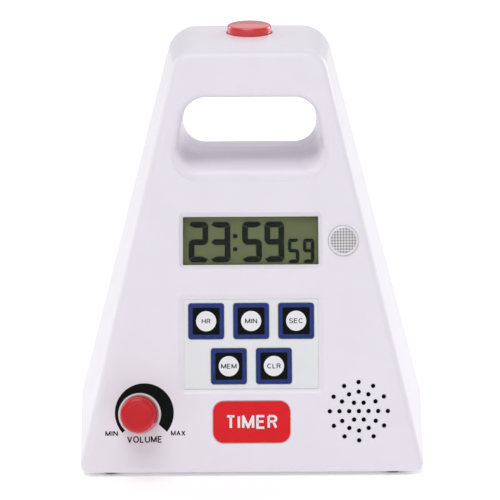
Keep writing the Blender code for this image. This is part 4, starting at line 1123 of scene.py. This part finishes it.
CAD_FINISHES = {
    "clear_window": ["lcd_window"],
    "display_back": ["lcd_panel"],
    "black_plastic": ["lcd_frame", "controller_chip", "filter_capacitor", "keypad_socket",
                      "speaker_clamp", "button_switch"],
    "red_gloss": ["alarm_lamp_led"],
    "keypad_film": ["keypad_overlay"],
    "polyester_film": ["keypad_circuit", "keypad_tail"],
    "striped_rubber": ["lcd_connector"],
    "circuit_board": ["main_board", "button_board"],
    "steel": ["quartz_crystal", "speaker_basket", "speaker_magnet", "volume_pot_body",
              "volume_pot_nut", "volume_pot_shaft", "battery_contact_lower",
              "battery_contact_upper", "board_screw_1", "board_screw_2", "board_screw_3",
              "board_screw_4"],
    "speaker_paper": ["speaker_cone"],
    "red_insulation": ["battery_lead_positive"],
    "black_insulation": ["battery_lead_negative", "speaker_lead", "volume_lead", "button_lead"],
}


def paint_nodes():
    for finish, names in CAD_FINISHES.items():
        for name in names:
            mesh = NODES[name].data
            mesh.materials.clear()
            mesh.materials.append(FINISHES[finish])


# ---------- camera, floor and light


def make_camera():
    data = bpy.data.cameras.new("camera")
    data.sensor_width = CAMERA_SENSOR
    data.lens = CAMERA_LENS
    data.clip_start = 0.05
    data.clip_end = 50.0
    camera = bpy.data.objects.new("camera", data)
    bpy.context.scene.collection.objects.link(camera)
    forward = Vector(CAMERA_FORWARD).normalized()
    right = forward.cross(Vector((0, 0, 1))).normalized()
    up = right.cross(forward)
    across = right * math.cos(CAMERA_ROLL) + up * math.sin(CAMERA_ROLL)
    upward = up * math.cos(CAMERA_ROLL) - right * math.sin(CAMERA_ROLL)
    turn = Matrix((across, upward, -forward)).transposed().to_4x4()
    camera.matrix_world = SHIFT(CAMERA_PLACE) @ turn
    bpy.context.scene.camera = camera


def make_sun(name, strength, direction, spread):
    """A soft light that comes from a direction, given as a point seen from the object."""
    data = bpy.data.lights.new(name, "SUN")
    data.energy = strength
    data.angle = math.radians(spread)
    light = bpy.data.objects.new(name, data)
    bpy.context.scene.collection.objects.link(light)
    light.rotation_mode = "QUATERNION"
    light.rotation_quaternion = Vector(direction).to_track_quat("Z", "Y")


def make_studio():
    bm = bmesh.new()
    bmesh.ops.create_grid(bm, x_segments=8, y_segments=8, size=FLOOR_REACH)
    floor = bpy.data.objects.new("floor", mesh_of("floor", bm))
    bpy.context.scene.collection.objects.link(floor)
    floor.data.materials.append(FINISHES["floor_white"])
    world = bpy.data.worlds.new("studio")
    world.use_nodes = True
    backdrop = world.node_tree.nodes["Background"]
    backdrop.inputs["Color"].default_value = SKY_COLOUR
    backdrop.inputs["Strength"].default_value = SKY_STRENGTH
    bpy.context.scene.world = world
    bpy.context.scene.view_settings.view_transform = "Standard"
    for name, (strength, direction, spread) in LIGHTS.items():
        make_sun(name, strength, direction, spread)


make_front_case()
make_rear_case()
make_door()
make_display()
make_keys()
make_volume_scale()
make_knob()
make_button()
make_spring()
make_lamp()
make_plate()
make_feet()
make_screws()
make_cells()
paint_nodes()
make_camera()
make_studio()
